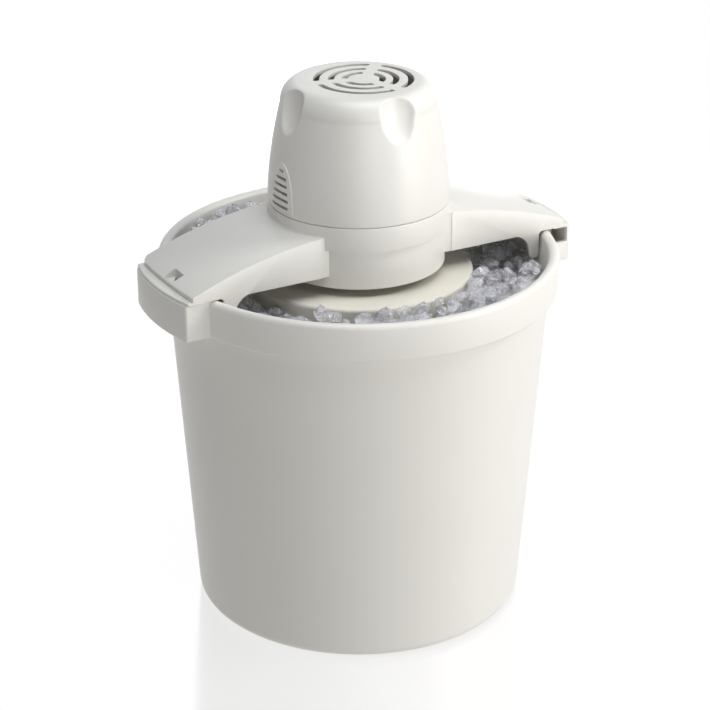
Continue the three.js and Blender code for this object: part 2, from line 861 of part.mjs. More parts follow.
// A spur gear's outline, one tooth pointing along +X.
function gearOutline(teeth) {
  const pitch = (gearModule * teeth) / 2;
  const tip = pitch + gearModule;
  const root = pitch - rootDepth * gearModule;
  const slope = (gearModule * Math.tan(pressureAngle * degrees)) / pitch / degrees;
  const halfTooth = 90 / teeth - backlash / (4 * pitch) / degrees;
  const halfRoot = halfTooth + rootDepth * slope;
  const halfTip = halfTooth - tipSlope * slope;
  return polygon(
    Array.from({ length: teeth }, (_, i) => (360 * i) / teeth).flatMap((middle) => [
      polar(root, middle - halfRoot),
      polar(tip, middle - halfTip),
      polar(tip, middle + halfTip),
      polar(root, middle + halfRoot),
    ]),
  );
}

function gear(teeth, bottom, top, phase = 0) {
  return turnedAbout(raised(gearOutline(teeth), bottom, top), phase);
}

// Turn that puts a gap where its mate shows a tooth.
function gapPhase(teeth) {
  return 180 / teeth;
}

function coupler() {
  const socketRoof = hexTop + hexRoom;
  const body = turned([
    [0, couplerBottom],
    [couplerRadius - couplerEdge, couplerBottom],
    [couplerRadius, couplerBottom + couplerEdge],
    [couplerRadius, couplerShoulder],
    [neckRadius, couplerShoulder],
    [neckRadius, deckTop],
    [0, deckTop],
  ]);
  const screwEnd = webTop - smallScrewLength;
  const holes = [
    cylinder(hexCorner(hexAcross + 2 * runningGap), couplerBottom - past, socketRoof, 6),
    cylinder(outputBore, socketRoof - past, deckTop + past),
    ...couplerScrewPlaces().map((place) => {
      return standing(smallScrewRadius + smallScrewGap, screwEnd, deckTop + past, place);
    }),
  ];
  return cut(body, holes);
}

function couplerScrewPlaces() {
  return [0, 120, 240].map((angle) => polar((outputBore + neckRadius) / 2, angle));
}

function outputGear() {
  const below = outputBottom - past;
  const wheel = gear(outputTeeth, outputBottom, outputTop);
  const holes = [
    cylinder(outputBore, below, outputTop + past),
    cylinder(neckRadius + neckRecess, webTop, outputTop + past),
    ...couplerScrewPlaces().map((place) => {
      return standing(smallScrewRadius + smallScrewGap, below, webTop + past, place);
    }),
  ];
  return cut(wheel, holes);
}

function outputBush() {
  const inner = neckRadius + runningGap;
  const outer = inner + bushWall;
  const flangeBottom = couplerShoulder + seatGap;
  const flangeTop = collarBottom - seatGap;
  return turned(
    closedProfile([
      [inner, flangeBottom],
      [outer + bushFlange, flangeBottom],
      [outer + bushFlange, flangeTop],
      [outer, flangeTop],
      [outer, deckTop],
      [inner, deckTop],
    ]),
  );
}

function dasherSocket() {
  const half = stemSide / 2 + runningGap;
  const below = bracketBottom - past;
  const above = bracketTop + past;
  const sleeve = cylinder(socketRadius, socketBottom, bracketTop);
  const pocket = block([-half, -half, socketBottom - past], [half, half, stemTop + socketRoom]);
  const hub = cylinder(socketRadius + socketHubWidth, bracketBottom, bracketTop);
  const legs = bracketPosts.map((angle) => {
    const bar = block([0, -bracketEar, bracketBottom], [bracketCircle, bracketEar, bracketTop]);
    const end = standing(bracketEar, bracketBottom, bracketTop, [bracketCircle, 0]);
    const hole = standing(screwRadius + seatGap, below, above, [bracketCircle, 0]);
    return turnedAbout(joined([bar, end]).subtract(hole), angle);
  });
  const notch = moved(cylinder(idlerHubRadius + idlerNotchGap, below, above), idlerAt);
  return cut(joined([sleeve, hub, ...legs]), [pocket, notch]);
}

function idlerGear() {
  const body = joined([
    gear(idlerPinionTeeth, outputBottom, bracketBottom, gapPhase(idlerPinionTeeth)),
    cylinder(idlerHubRadius, bracketBottom - past, wheelBottom + past),
    gear(idlerWheelTeeth, wheelBottom, wheelTop),
  ]);
  const bore = cylinder(pinRadius + runningGap, outputBottom - past, wheelTop + past, smallFacets);
  return moved(body.subtract(bore), idlerAt);
}

function motorPinion() {
  const bore = cylinder(shaftRadius + seatGap, wheelBottom - past, wheelTop + past, smallFacets);
  return gear(motorPinionTeeth, wheelBottom, wheelTop, gapPhase(motorPinionTeeth)).subtract(bore);
}

// A bearing bush round the shaft, from a height upwards.
function bearingBush(bottom) {
  return tube(shaftRadius + runningGap, bushRadius, bottom, bottom + bushLength, smallFacets);
}

function boltHoles(bottom, top) {
  return bothSides(standing(boltRadius + seatGap, bottom, top, [boltSpan, 0]));
}

function statorCore() {
  const below = statorBottom - past;
  const above = statorTop + past;
  const stack = block(
    [-statorHalfWidth, -statorFront, statorBottom],
    [statorHalfWidth, statorBack, statorTop],
  );
  const window = block([-windowHalfWidth, windowFront, below], [windowHalfWidth, limbFront, above]);
  const bore = cylinder(rotorRadius + airGap, below, above);
  return cut(stack, [window, bore, ...boltHoles(below, above)]);
}

function rotorCore() {
  const bore = shaftRadius + seatGap;
  return tube(bore, rotorRadius, statorBottom + rotorInset, statorTop - rotorInset);
}

function fieldCoil() {
  const build = coilThickness - seatGap;
  const winding = block(
    [-coilHalfWidth, limbFront - build, statorBottom - coilOverhang],
    [coilHalfWidth, coilBack, statorTop + coilOverhang],
  );
  const limb = block(
    [-coilHalfWidth - past, limbFront - seatGap, statorBottom - seatGap],
    [coilHalfWidth + past, statorBack + seatGap, statorTop + seatGap],
  );
  return winding.subtract(limb);
}

function bearingStrap() {
  const below = strapBottom - past;
  const above = strapTop + past;
  const plate = block(
    [-statorHalfWidth, -strapWidth / 2, strapBottom],
    [statorHalfWidth, strapWidth / 2, strapTop],
  );
  const hole = cylinder(bushRadius + seatGap, below, above, smallFacets);
  return cut(plate, [hole, ...boltHoles(below, above)]);
}

// A through bolt, from the strap down through the gear plate.
function motorBolt() {
  const length = strapTop + seatGap - gearPlateBottom;
  return hangingScrew(length, boltRadius, [boltSpan, 0], strapTop);
}

function coolingFan() {
  const long = fanHeight / Math.cos(bladePitch * degrees) / 2;
  const blades = Array.from({ length: fanBlades }, (_, i) => {
    const low = [fanHub / 2, -bladeThickness / 2, -long];
    const blade = block(low, [fanRadius, bladeThickness / 2, long]);
    return turnedAbout(blade.rotate([bladePitch, 0, 0]), (360 / fanBlades) * i);
  });
  const slice = cylinder(fanRadius + past, fanBottom, fanTop);
  const wheel = moved(joined(blades), [0, 0], fanBottom + fanHeight / 2).intersect(slice);
  const hub = cylinder(fanHub, fanBottom, fanTop);
  const bore = cylinder(shaftRadius + seatGap, fanBottom - past, fanTop + past, smallFacets);
  return joined([wheel, hub]).subtract(bore);
}

// Moves a body that stands on the axis to the back of the collar, its top facing out.
function toCollarBack(body) {
  return moved(body.rotate([-90, 0, 0]), [0, 0], (deckTop + collarTop) / 2);
}

// Sleeve for the supply cord in the back of the collar.
function cordGland() {
  const inner = collarInner - glandPast;
  const flangeStart = collarRadius + seatGap;
  const outer = flangeStart + glandFlangeThickness;
  const profile = closedProfile([
    [glandRadius - glandWall, inner],
    [glandRadius, inner],
    [glandRadius, flangeStart],
    [glandFlange, flangeStart],
    [glandFlange, outer - glandEdge],
    [glandFlange - glandEdge, outer],
    [glandRadius - glandWall, outer],
  ]);
  return toCollarBack(turned(profile));
}

add("bucket", bucket(), shellWhite);
add("canister", canister(), aluminium);
add("canister_lid", canisterLid(), lidCream);
add("dasher_frame", dasherFrame(), dasherWhite);
bothSides(scraper()).forEach((body, i) => add(`dasher_scraper_${i + 1}`, body, gearNylon));
add("bridge_housing", bridgeHousing(), shellWhite);
add("motor_cover", motorCover(), shellWhite);
columnPlaces().forEach((place, i) => {
  add(`cover_screw_${i + 1}`, moved(screw(coverScrewLength), place, collarBottom - seatGap), steel);
});
add("gear_plate", gearPlate(), steel);
add("dasher_socket", dasherSocket(), gearNylon);
bracketPlaces().forEach((place, i) => {
  const length = bracketTop - deckTop - screwRoom + seatGap;
  add(`socket_screw_${i + 1}`, hangingScrew(length, screwRadius, place, bracketTop), steel);
});
add("output_bush", outputBush(), bronze);
add("output_gear", outputGear(), gearNylon);
add("drive_coupler", coupler(), gearNylon);
couplerScrewPlaces().forEach((place, i) => {
  const body = hangingScrew(smallScrewLength, smallScrewRadius, place, webTop);
  add(`coupler_screw_${i + 1}`, body, steel);
});
add("idler_gear", idlerGear(), gearNylon);
add("idler_pin", standing(pinRadius, collarBottom, gearPlateTop, idlerAt), steel);
add("motor_pinion", motorPinion(), bronze);
add("motor_shaft", cylinder(shaftRadius, wheelBottom, shaftTop, smallFacets), steel);
add("rotor_core", rotorCore(), laminations);
add("stator_core", statorCore(), laminations);
add("field_coil", fieldCoil(), copper);
add("bearing_bush_lower", bearingBush(gearPlateBottom - bushDrop), bronze);
add("bearing_bush_upper", bearingBush(strapBottom + bushLift), bronze);
add("bearing_strap", bearingStrap(), steel);
bothSides(motorBolt()).forEach((body, i) => add(`motor_bolt_${i + 1}`, body, steel));
add("cooling_fan", coolingFan(), dasherWhite);
add("cord_gland", cordGland(), blackRubber);

export default machine;
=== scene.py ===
import json
import math
import random

import bmesh
import bpy
from mathutils import Matrix, Vector


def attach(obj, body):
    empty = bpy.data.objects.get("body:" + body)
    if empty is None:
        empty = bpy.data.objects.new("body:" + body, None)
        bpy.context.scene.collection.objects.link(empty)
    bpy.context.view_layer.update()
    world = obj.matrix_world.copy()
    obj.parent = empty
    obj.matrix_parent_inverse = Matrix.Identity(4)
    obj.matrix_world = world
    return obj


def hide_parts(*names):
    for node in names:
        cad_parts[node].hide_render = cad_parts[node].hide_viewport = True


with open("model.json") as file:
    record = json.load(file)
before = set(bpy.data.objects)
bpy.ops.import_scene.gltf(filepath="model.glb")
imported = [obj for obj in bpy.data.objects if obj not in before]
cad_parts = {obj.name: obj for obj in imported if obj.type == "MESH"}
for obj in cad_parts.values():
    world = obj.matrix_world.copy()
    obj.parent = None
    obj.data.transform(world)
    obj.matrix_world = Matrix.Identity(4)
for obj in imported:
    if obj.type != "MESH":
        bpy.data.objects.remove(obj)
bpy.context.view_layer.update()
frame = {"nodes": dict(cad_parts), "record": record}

# Bucket ice cream freezer: +Z up, +X along the bridge. Meshes are drawn in millimetres and kept in metres.
mm = 0.001
tiny = 1e-4
cadNodes = frame["nodes"]
scene = bpy.context.scene
scene.view_settings.view_transform = "Standard"


# ends a value in a material, so that + - * / add Math nodes
class Wire:
    def __init__(self, finish, socket):
        self.finish = finish
        self.socket = socket

    def math(self, operation, first, second):
        return self.finish.add("Math", {"operation": operation}, {0: first, 1: second})

    def __add__(self, other):
        return self.math("ADD", self, other)

    def __radd__(self, other):
        return self.math("ADD", other, self)

    def __sub__(self, other):
        return self.math("SUBTRACT", self, other)

    def __rsub__(self, other):
        return self.math("SUBTRACT", other, self)

    def __mul__(self, other):
        return self.math("MULTIPLY", self, other)

    def __rmul__(self, other):
        return self.math("MULTIPLY", other, self)

    def __pow__(self, other):
        return self.math("POWER", self, other)

    def clamped(self):
        return self.finish.add("Clamp", {}, {0: self})


# the nodes of a material or of the world
class Finish:
    def __init__(self, owner):
        self.owner = owner
        owner.use_nodes = True
        self.tree = owner.node_tree
        self.tree.nodes.clear()
        self.place = self.add("TexCoord", output="Object")

    # one node: its settings first, then the values or links of its sockets
    def add(self, kind, settings=None, sockets=None, output=0):
        node = self.tree.nodes.new("ShaderNode" + kind)
        for key, value in (settings or {}).items():
            setattr(node, key, value)
        for key, value in (sockets or {}).items():
            if isinstance(value, Wire):
                self.tree.links.new(value.socket, node.inputs[key])
            else:
                node.inputs[key].default_value = value
        return Wire(self, node.outputs[output]) if node.outputs else None

    def noise(self, scale, detail=2.0, where=None, roughness=0.5):
        sockets = {"Vector": where or self.place, "Scale": scale, "Detail": detail, "Roughness": roughness}
        return self.add("TexNoise", {}, sockets)

    def mix(self, share, first, second):
        return self.add("Mix", {"data_type": "RGBA"}, {0: share, 6: first, 7: second}, 2)

    def axis(self, which, where=None):
        return self.add("SeparateXYZ", {}, {0: where or self.place}, which)

    # radius round the upright axis
    def radius(self):
        x, y = self.axis(0), self.axis(1)
        return (x * x + y * y) ** 0.5

    def bump(self, height, strength, distance):
        return self.add("Bump", {}, {"Height": height, "Strength": strength, "Distance": distance})

    # the shader and its output
    def done(self, **sockets):
        named = {key.replace("_", " "): value for key, value in sockets.items()}
        shader = self.add("BsdfPrincipled", {}, named)
        self.add("OutputMaterial", {}, {"Surface": shader})
        return self.owner


def newFinish(name):
    return Finish(bpy.data.materials.new(name))


def rgb(red, green, blue):
    return (red, green, blue, 1.0)


plasticLooks = {
    "shellWhite": {
        "pale": rgb(0.83, 0.815, 0.775), "deep": rgb(0.80, 0.785, 0.74), "rough": 0.36, "grain": 1500,
    },
    "lidCream": {
        "pale": rgb(0.83, 0.805, 0.715), "deep": rgb(0.80, 0.77, 0.675), "rough": 0.34, "grain": 1500,
    },
    "dasherWhite": {
        "pale": rgb(0.86, 0.85, 0.82), "deep": rgb(0.81, 0.80, 0.765), "rough": 0.42, "grain": 1200,
    },
    "naturalNylon": {
        "pale": rgb(0.83, 0.79, 0.68), "deep": rgb(0.75, 0.70, 0.58), "rough": 0.45, "grain": 900,
    },
}


# moulded plastic: faint flow marks in its colour, a fine grain and uneven gloss
def mouldedPlastic(name):
    look = plasticLooks[name]
    finish = newFinish(name)
    flow = finish.noise(16.0, 3.0)
    patch = finish.noise(70.0, 2.0)
    grain = finish.noise(look["grain"], 2.0)
    colour = finish.mix(flow, look["pale"], look["deep"])
    return finish.done(
        Base_Color=colour,
        Roughness=patch * 0.08 + (look["rough"] - 0.04),
        IOR=1.49,
        Normal=finish.bump(grain, 0.05, 0.0002),
    )


# spun aluminium: fine rings round the axis
def spunMetal(name, pale, deep):
    finish = newFinish(name)
    height = finish.axis(2)
    rings = finish.add("CombineXYZ", {}, {0: finish.radius() * 900.0, 1: height * 900.0, 2: 0.0})
    lines = finish.noise(1.0, 3.0, rings)
    cloud = finish.noise(22.0, 3.0)
    return finish.done(
        Base_Color=finish.mix(cloud, pale, deep),
        Metallic=1.0,
        Roughness=lines * 0.16 + 0.24,
        Normal=finish.bump(lines, 0.08, 0.0001),
    )


# plated or sintered metal: faint crystal patches
def platedSteel(name, pale, deep, rough):
    finish = newFinish(name)
    cell = finish.add("TexVoronoi", {}, {"Vector": finish.place, "Scale": 260.0}, "Color")
    patch = finish.axis(0, cell)
    return finish.done(
        Base_Color=finish.mix(patch, pale, deep),
        Metallic=1.0,
        Roughness=patch * 0.12 + rough,
        Normal=finish.bump(finish.noise(1400.0), 0.04, 0.0001),
    )


# stacked sheets: dark joints every so many metres of height
def stackedSheets(name, pale, deep, pitch, metallic, rough):
    finish = newFinish(name)
    height = finish.axis(2)
    wave = finish.add("Math", {"operation": "SINE"}, {0: height * (math.tau / pitch)})
    line = wave * 0.5 + 0.5
    return finish.done(
        Base_Color=finish.mix(line, deep, pale),
        Metallic=metallic,
        Roughness=finish.noise(300.0) * 0.1 + rough,
        Normal=finish.bump(line, 0.3, 0.0002),
    )


def softRubber(name):
    finish = newFinish(name)
    grain = finish.noise(900.0, 3.0)
    return finish.done(
        Base_Color=finish.mix(grain, rgb(0.022, 0.022, 0.023), rgb(0.045, 0.044, 0.043)),
        Roughness=grain * 0.15 + 0.6,
        Normal=finish.bump(grain, 0.15, 0.0002),
    )


iceTints = {
    "cloud": 150.0,
    "crack": 420.0,
    "clear": (rgb(1.0, 1.0, 1.0), rgb(0.97, 0.97, 1.0)),
    "milky": (rgb(0.98, 0.98, 1.0), rgb(0.84, 0.84, 0.93)),
    "crackDepth": 0.0015,
    "milkFrom": 0.42,
    "milkGain": 2.2,
    "milkSpan": 0.5,
    "milkLeast": 0.2,
}


# clear lumps with a cool tint, cloudy and cracked inside
def clearIce(name):
    look = iceTints
    finish = newFinish(name)
    cloud = finish.noise(look["cloud"], 3.0)
    crack = finish.noise(look["crack"], 4.0, None, 0.65)
    glass = finish.add(
        "BsdfPrincipled", {},
        {
            "Base Color": finish.mix(cloud, *look["clear"]),
            "Roughness": cloud * 0.06,
            "IOR": 1.31,
            "Transmission Weight": 1.0,
            "Normal": finish.bump(crack, 0.35, look["crackDepth"]),
        },
    )
    milk = finish.add(
        "BsdfPrincipled", {},
        {
            "Base Color": finish.mix(crack, *look["milky"]),
            "Roughness": cloud * 0.1 + 0.05,
            "Coat Weight": 1.0,
            "Coat Roughness": 0.02,
            "Normal": finish.bump(crack, 0.3, look["crackDepth"]),
        },
    )
    milkiness = ((crack - look["milkFrom"]) * look["milkGain"]).clamped()
    share = milkiness * look["milkSpan"] + look["milkLeast"]
    both = finish.add("MixShader", {}, {0: share, 1: glass, 2: milk})
    finish.add("OutputMaterial", {}, {"Surface": both})
    return finish.owner


finishes = {
    "shell_white": mouldedPlastic("shellWhite"),
    "lid_cream": mouldedPlastic("lidCream"),
    "dasher_white": mouldedPlastic("dasherWhite"),
    "nylon": mouldedPlastic("naturalNylon"),
    "canister_aluminium": spunMetal("spunAluminium", rgb(0.80, 0.80, 0.81), rgb(0.70, 0.71, 0.72)),
    "steel": platedSteel("platedSteel", rgb(0.66, 0.66, 0.67), rgb(0.52, 0.53, 0.54), 0.28),
    "bronze": platedSteel("sinteredBronze", rgb(0.62, 0.47, 0.26), rgb(0.50, 0.36, 0.18), 0.34),
    "laminated_steel": stackedSheets(
        "laminations", rgb(0.33, 0.34, 0.36), rgb(0.16, 0.16, 0.17), 0.0013, 0.85, 0.42,
    ),
    "copper_winding": stackedSheets(
        "copperWinding", rgb(0.62, 0.27, 0.12), rgb(0.28, 0.10, 0.04), 0.0011, 0.8, 0.35,
    ),
    "black_rubber": softRubber("blackRubber"),
}
print("materials made")


def bevelled(bm, parts, size, steps, kind):
    bmesh.ops.bevel(
        bm, geom=parts, offset=size, offset_type="OFFSET", segments=steps, profile=0.5,
        affect=kind, material=-1, clamp_overlap=True,
    )


# the points of a rectangle with rounded corners
def corners(left, right, low, high, rounding):
    return [(left, low, rounding), (right, low, rounding), (right, high, rounding), (left, high, rounding)]


# one face through (across, up, rounding) points, flat or standing up
def flatShape(points, standing, steps=5):
    bm = bmesh.new()
    made = [bm.verts.new((p[0], 0, p[1]) if standing else (p[0], p[1], 0)) for p in points]
    bm.faces.new(made)
    for corner, point in zip(made, points):
        if len(point) > 2:
            bevelled(bm, [corner], point[2], steps, "VERTICES")
    return bm


def closeUp(bm):
    bmesh.ops.remove_doubles(bm, verts=bm.verts[:], dist=tiny)
    bmesh.ops.recalc_face_normals(bm, faces=bm.faces[:])
    return bm


# a profile of (radius, height, rounding) turned round the upright axis
def spun(points, around=192, steps=5):
    bm = flatShape(points, True, steps)
    bmesh.ops.delete(bm, geom=bm.faces[:], context="FACES_ONLY")
    onAxis = [edge for edge in bm.edges if all(abs(vert.co.x) < tiny for vert in edge.verts)]
    bmesh.ops.delete(bm, geom=onAxis, context="EDGES")
    bmesh.ops.spin(
        bm, geom=bm.verts[:] + bm.edges[:], cent=(0, 0, 0), axis=(0, 0, 1),
        angle=math.tau, steps=around, use_merge=True,
    )
    return closeUp(bm)


# a shape raised along Z, or one drawn standing up and spread along Y
def extruded(points, low, high, standing=False, steps=5):
    bm = flatShape(points, standing, steps)
    grown = bmesh.ops.extrude_face_region(bm, geom=bm.faces[:])["geom"]
    along = Vector((0, 1, 0)) if standing else Vector((0, 0, 1))
    far = [part for part in grown if isinstance(part, bmesh.types.BMVert)]
    bmesh.ops.translate(bm, verts=bm.verts[:], vec=along * low)
    bmesh.ops.translate(bm, verts=far, vec=along * (high - low))
    return closeUp(bm)


def block(low, high):
    points = [(low[0], low[1]), (high[0], low[1]), (high[0], high[1]), (low[0], high[1])]
    return extruded(points, low[2], high[2])


def rod(radius, bottom, top, around=192):
    return spun([(0, bottom), (radius, bottom), (radius, top), (0, top)], around)


def moved(bm, x, y, z=0):
    bmesh.ops.translate(bm, verts=bm.verts[:], vec=(x, y, z))
    return bm


def turned(bm, degrees, axis="Z"):
    turn = Matrix.Rotation(math.radians(degrees), 3, axis)
    bmesh.ops.rotate(bm, verts=bm.verts[:], cent=(0, 0, 0), matrix=turn)
    return bm


# rounds the edges that a test picks
def softened(bm, size, steps, wanted):
    edges = [edge for edge in bm.edges if wanted(edge)]
    if edges:
        bevelled(bm, edges, size, steps, "EDGES")
    return bm


def bothEnds(edge, test):
    return all(test(vert.co) for vert in edge.verts)


def sharp(edge, degrees=40):
    return len(edge.link_faces) == 2 and edge.calc_face_angle(0.0) > math.radians(degrees)


def polar(radius, degrees):
    return radius * math.cos(math.radians(degrees)), radius * math.sin(math.radians(degrees))


# upright rods on a circle round the axis
def rodsOn(circle, angles, radius, bottom, top, around=32):
    return [moved(rod(radius, bottom, top, around), *polar(circle, angle)) for angle in angles]


# corners of a hexagon, from its width across flats
def hexPoints(across, rounding):
    corner = across / 2 / math.cos(math.radians(30))
    return [(*polar(corner, 60 * i), rounding) for i in range(6)]


def arcPoints(radius, start, end, steps, rounding=None):
    points = [polar(radius, start + (end - start) * i / steps) for i in range(steps + 1)]
    if rounding:
        points[0] += (rounding,)
        points[-1] += (rounding,)
    return points


def asObject(name, bm):
    mesh = bpy.data.meshes.new(name)
    bm.to_mesh(mesh)
    bm.free()
    made = bpy.data.objects.new(name, mesh)
    scene.collection.objects.link(made)
    return made


# joins, cuts or crosses a piece with shapes, which are used up
def combined(piece, shapes, operation):
    tools = [asObject("tool", shape) for shape in shapes]
    for tool in tools:
        change = piece.modifiers.new("change", "BOOLEAN")
        change.operation = operation
        change.solver = "MANIFOLD"
        change.object = tool
    mesh = bpy.data.meshes.new_from_object(piece.evaluated_get(bpy.context.evaluated_depsgraph_get()))
    piece.modifiers.clear()
    piece.data = mesh
    for tool in tools:
        bpy.data.objects.remove(tool)
    return piece


def joined(piece, shapes):
    return combined(piece, shapes, "UNION")


def cut(piece, shapes):
    return combined(piece, shapes, "DIFFERENCE")


# the solid of a piece as a new bmesh, after which the piece is gone
def taken(piece):
    bm = bmesh.new()
    bm.from_mesh(piece.data)
    bpy.data.objects.remove(piece)
    return bm


# edits a piece's own mesh with a bmesh function
def reshaped(piece, change):
    bm = bmesh.new()
    bm.from_mesh(piece.data)
    bmesh.ops.remove_doubles(bm, verts=bm.verts[:], dist=0.002)
    change(bm)
    bm.to_mesh(piece.data)
    bm.free()
    return piece


# scales a mesh to metres and shades it smooth up to a crease
def shaded(mesh, crease):
    mesh.transform(Matrix.Scale(mm, 4))
    mesh.shade_smooth()
    mesh.set_sharp_from_angle(angle=math.radians(crease))


# names and shades a piece, gives it its slot's finish, attaches it to its body and hides the CAD nodes it
# replaces
def finished(piece, name, body, slotName, replacedNodes):
    piece.name = name
    piece.data.name = name
    shaded(piece.data, 32)
    piece.data.materials.clear()
    piece.data.materials.append(finishes[slotName])
    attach(piece, body)
    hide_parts(*replacedNodes)


bucketSizes = {
    "footRadius": 120.2,
    "footRound": 7.5,
    "ringInner": 105.7,
    "ringHeight": 3.0,
    "floorTop": 6.5,
    "wall": 2.6,
    "skirtBottom": 242.8,
    "skirtInner": 140.0,
    "wallAtRoll": 138.2,
    "skirtRound": 1.7,
    "rollTop": 264.6,
    "rimTop": 269.5,
    "rimRadius": 143.0,
    "rimWidth": 7.4,
    "rimRound": 3.6,
    "pivotRadius": 8.0,
    "pivotTop": 17.8,
    "earReach": 160.0,
    "earHalfWidth": 40.0,
    "earWall": 3.0,
    "earCorner": 1.3,
    "earEdge": 0.9,
    "pocketCorner": 1.0,
    "mouthReach": 153.5,
    "mouthHalfWidth": 33.5,
    "windowSill": 257.5,
    "windowEnd": 152.5,
    "earInner": 133.0,
}


def earPlan(inner, reach, halfWidth, rounding):
    end = math.degrees(math.asin(halfWidth / reach))
    return [(inner, -halfWidth), *arcPoints(reach, -end, end, 28, rounding), (inner, halfWidth)]


# one ear: a box beyond the skirt with a pocket, a top opening and a window in one side
def ear(angle):
    s = bucketSizes
    bottom, top = s["skirtBottom"], s["rimTop"]
    outline = earPlan(s["earInner"], s["earReach"], s["earHalfWidth"], s["earCorner"])
    pocketReach, pocketHalfWidth = s["earReach"] - s["earWall"], s["earHalfWidth"] - s["earWall"]
    pocket = earPlan(s["earInner"], pocketReach, pocketHalfWidth, s["pocketCorner"])
    mouth = earPlan(s["earInner"], s["mouthReach"], s["mouthHalfWidth"], s["pocketCorner"])

    # an edge of the top or underside, apart from the one inside the rim
    def outerEdge(edge):
        first, second = (vert.co for vert in edge.verts)
        level = first.z == second.z and bothEnds(edge, lambda co: co.z > top - tiny or co.z < bottom + tiny)
        return level and first.x + second.x > 2 * s["earInner"] + 0.1

    shell = softened(extruded(outline, bottom, top), s["earEdge"], 3, outerEdge)
    hollow = joined(
        asObject("hollow", extruded(pocket, bottom + s["earWall"], top - s["earWall"])),
        [extruded(mouth, top - s["earWall"] - 1, top + 1)],
    )
    cut(hollow, [rod(s["rimRadius"], bottom - 5, top + 5)])
    window = extruded(
        [
            (s["earInner"] - 1, s["windowSill"]),
            (s["windowEnd"], s["windowSill"], 0.8),
            (s["windowEnd"], top + 1),
            (s["earInner"] - 1, top + 1),
        ],
        -s["earHalfWidth"] - 1, -s["mouthHalfWidth"], True,
    )
    within = rod(s["skirtInner"] + 0.5, bottom - 5, top + 5)
    made = cut(asObject("ear", shell), [taken(hollow), window, within])
    return turned(taken(made), angle)


def makeBucket():
    s = bucketSizes
    innerFoot = s["footRadius"] - s["wall"]
    shell = spun([
        (0, s["ringHeight"]),
        (s["ringInner"] - 3, s["ringHeight"], 1.5),
        (s["ringInner"], 0, 0.6),
        (s["footRadius"], 0, s["footRound"]),
        (s["wallAtRoll"], s["rollTop"], 0.5),
        (s["skirtInner"], s["rollTop"], 0.5),
        (s["skirtInner"], s["skirtBottom"], 0.8),
        (s["rimRadius"], s["skirtBottom"], s["skirtRound"]),
        (s["rimRadius"], s["rimTop"], s["rimRound"]),
        (s["rimRadius"] - s["rimWidth"], s["rimTop"], s["rimRound"]),
        (innerFoot, s["floorTop"], s["footRound"]),
        (s["pivotRadius"], s["floorTop"], 1.5),
        (s["pivotRadius"] * 0.7, s["pivotTop"] - 1.5, 1.0),
        (s["pivotRadius"] * 0.4, s["pivotTop"], 0.6),
        (0, s["pivotTop"]),
    ])
    piece = joined(asObject("bucket", shell), [ear(0), ear(180)])
    finished(piece, "bucket_shell", "bucket", "shell_white", ["bucket"])


makeBucket()
print("bucket made")


canisterSizes = {
    "radius": 76.0,
    "footRadius": 74.0,
    "bottom": 12.0,
    "top": 250.0,
    "wall": 1.0,
    "bead": 3.0,
    "round": 3.0,
    "dimple": 8.4,
    "dimpleTaper": 2.4,
    "dimpleTop": 18.1,
}


def makeCanister():
    s = canisterSizes
    floor = s["bottom"] + s["wall"]
    shell = spun([
        (0, s["dimpleTop"]),
        (s["dimple"] - s["dimpleTaper"], s["dimpleTop"], 0.8),
        (s["dimple"], s["bottom"], 0.8),
        (s["footRadius"], s["bottom"], s["round"]),
        (s["radius"], s["top"] - s["bead"], 0.3),
        (s["radius"] + s["bead"], s["top"] - s["bead"], 1.2),
        (s["radius"] + s["bead"], s["top"], 1.2),
        (s["radius"] - s["wall"], s["top"], 0.5),
        (s["footRadius"] - s["wall"], floor, s["round"] - s["wall"]),
        (s["dimple"] + s["wall"], floor, 0.5),
        (s["dimple"] - s["dimpleTaper"] + s["wall"], s["dimpleTop"] + s["wall"], 0.8),
        (0, s["dimpleTop"] + s["wall"]),
    ])
    finished(asObject("canister", shell), "canister_can", "canister", "canister_aluminium", ["canister"])


lidSizes = {
    "radius": 82.0,
    "top": 255.0,
    "thickness": 2.8,
    "skirt": 18.0,
    "wall": 2.6,
    "edge": 2.5,
    "seat": 250.3,
    "plugRadius": 74.6,
    "plugDepth": 9.0,
    "hexAcross": 34.0,
    "hexHeight": 16.0,
    "hexRound": 0.8,
    "stemHole": 9.485,
    "notches": 4,
    "notchAngle": -47.0,
    "notchWidth": 9.0,
    "notchHeight": 5.0,
    "notchRound": 2.0,
}


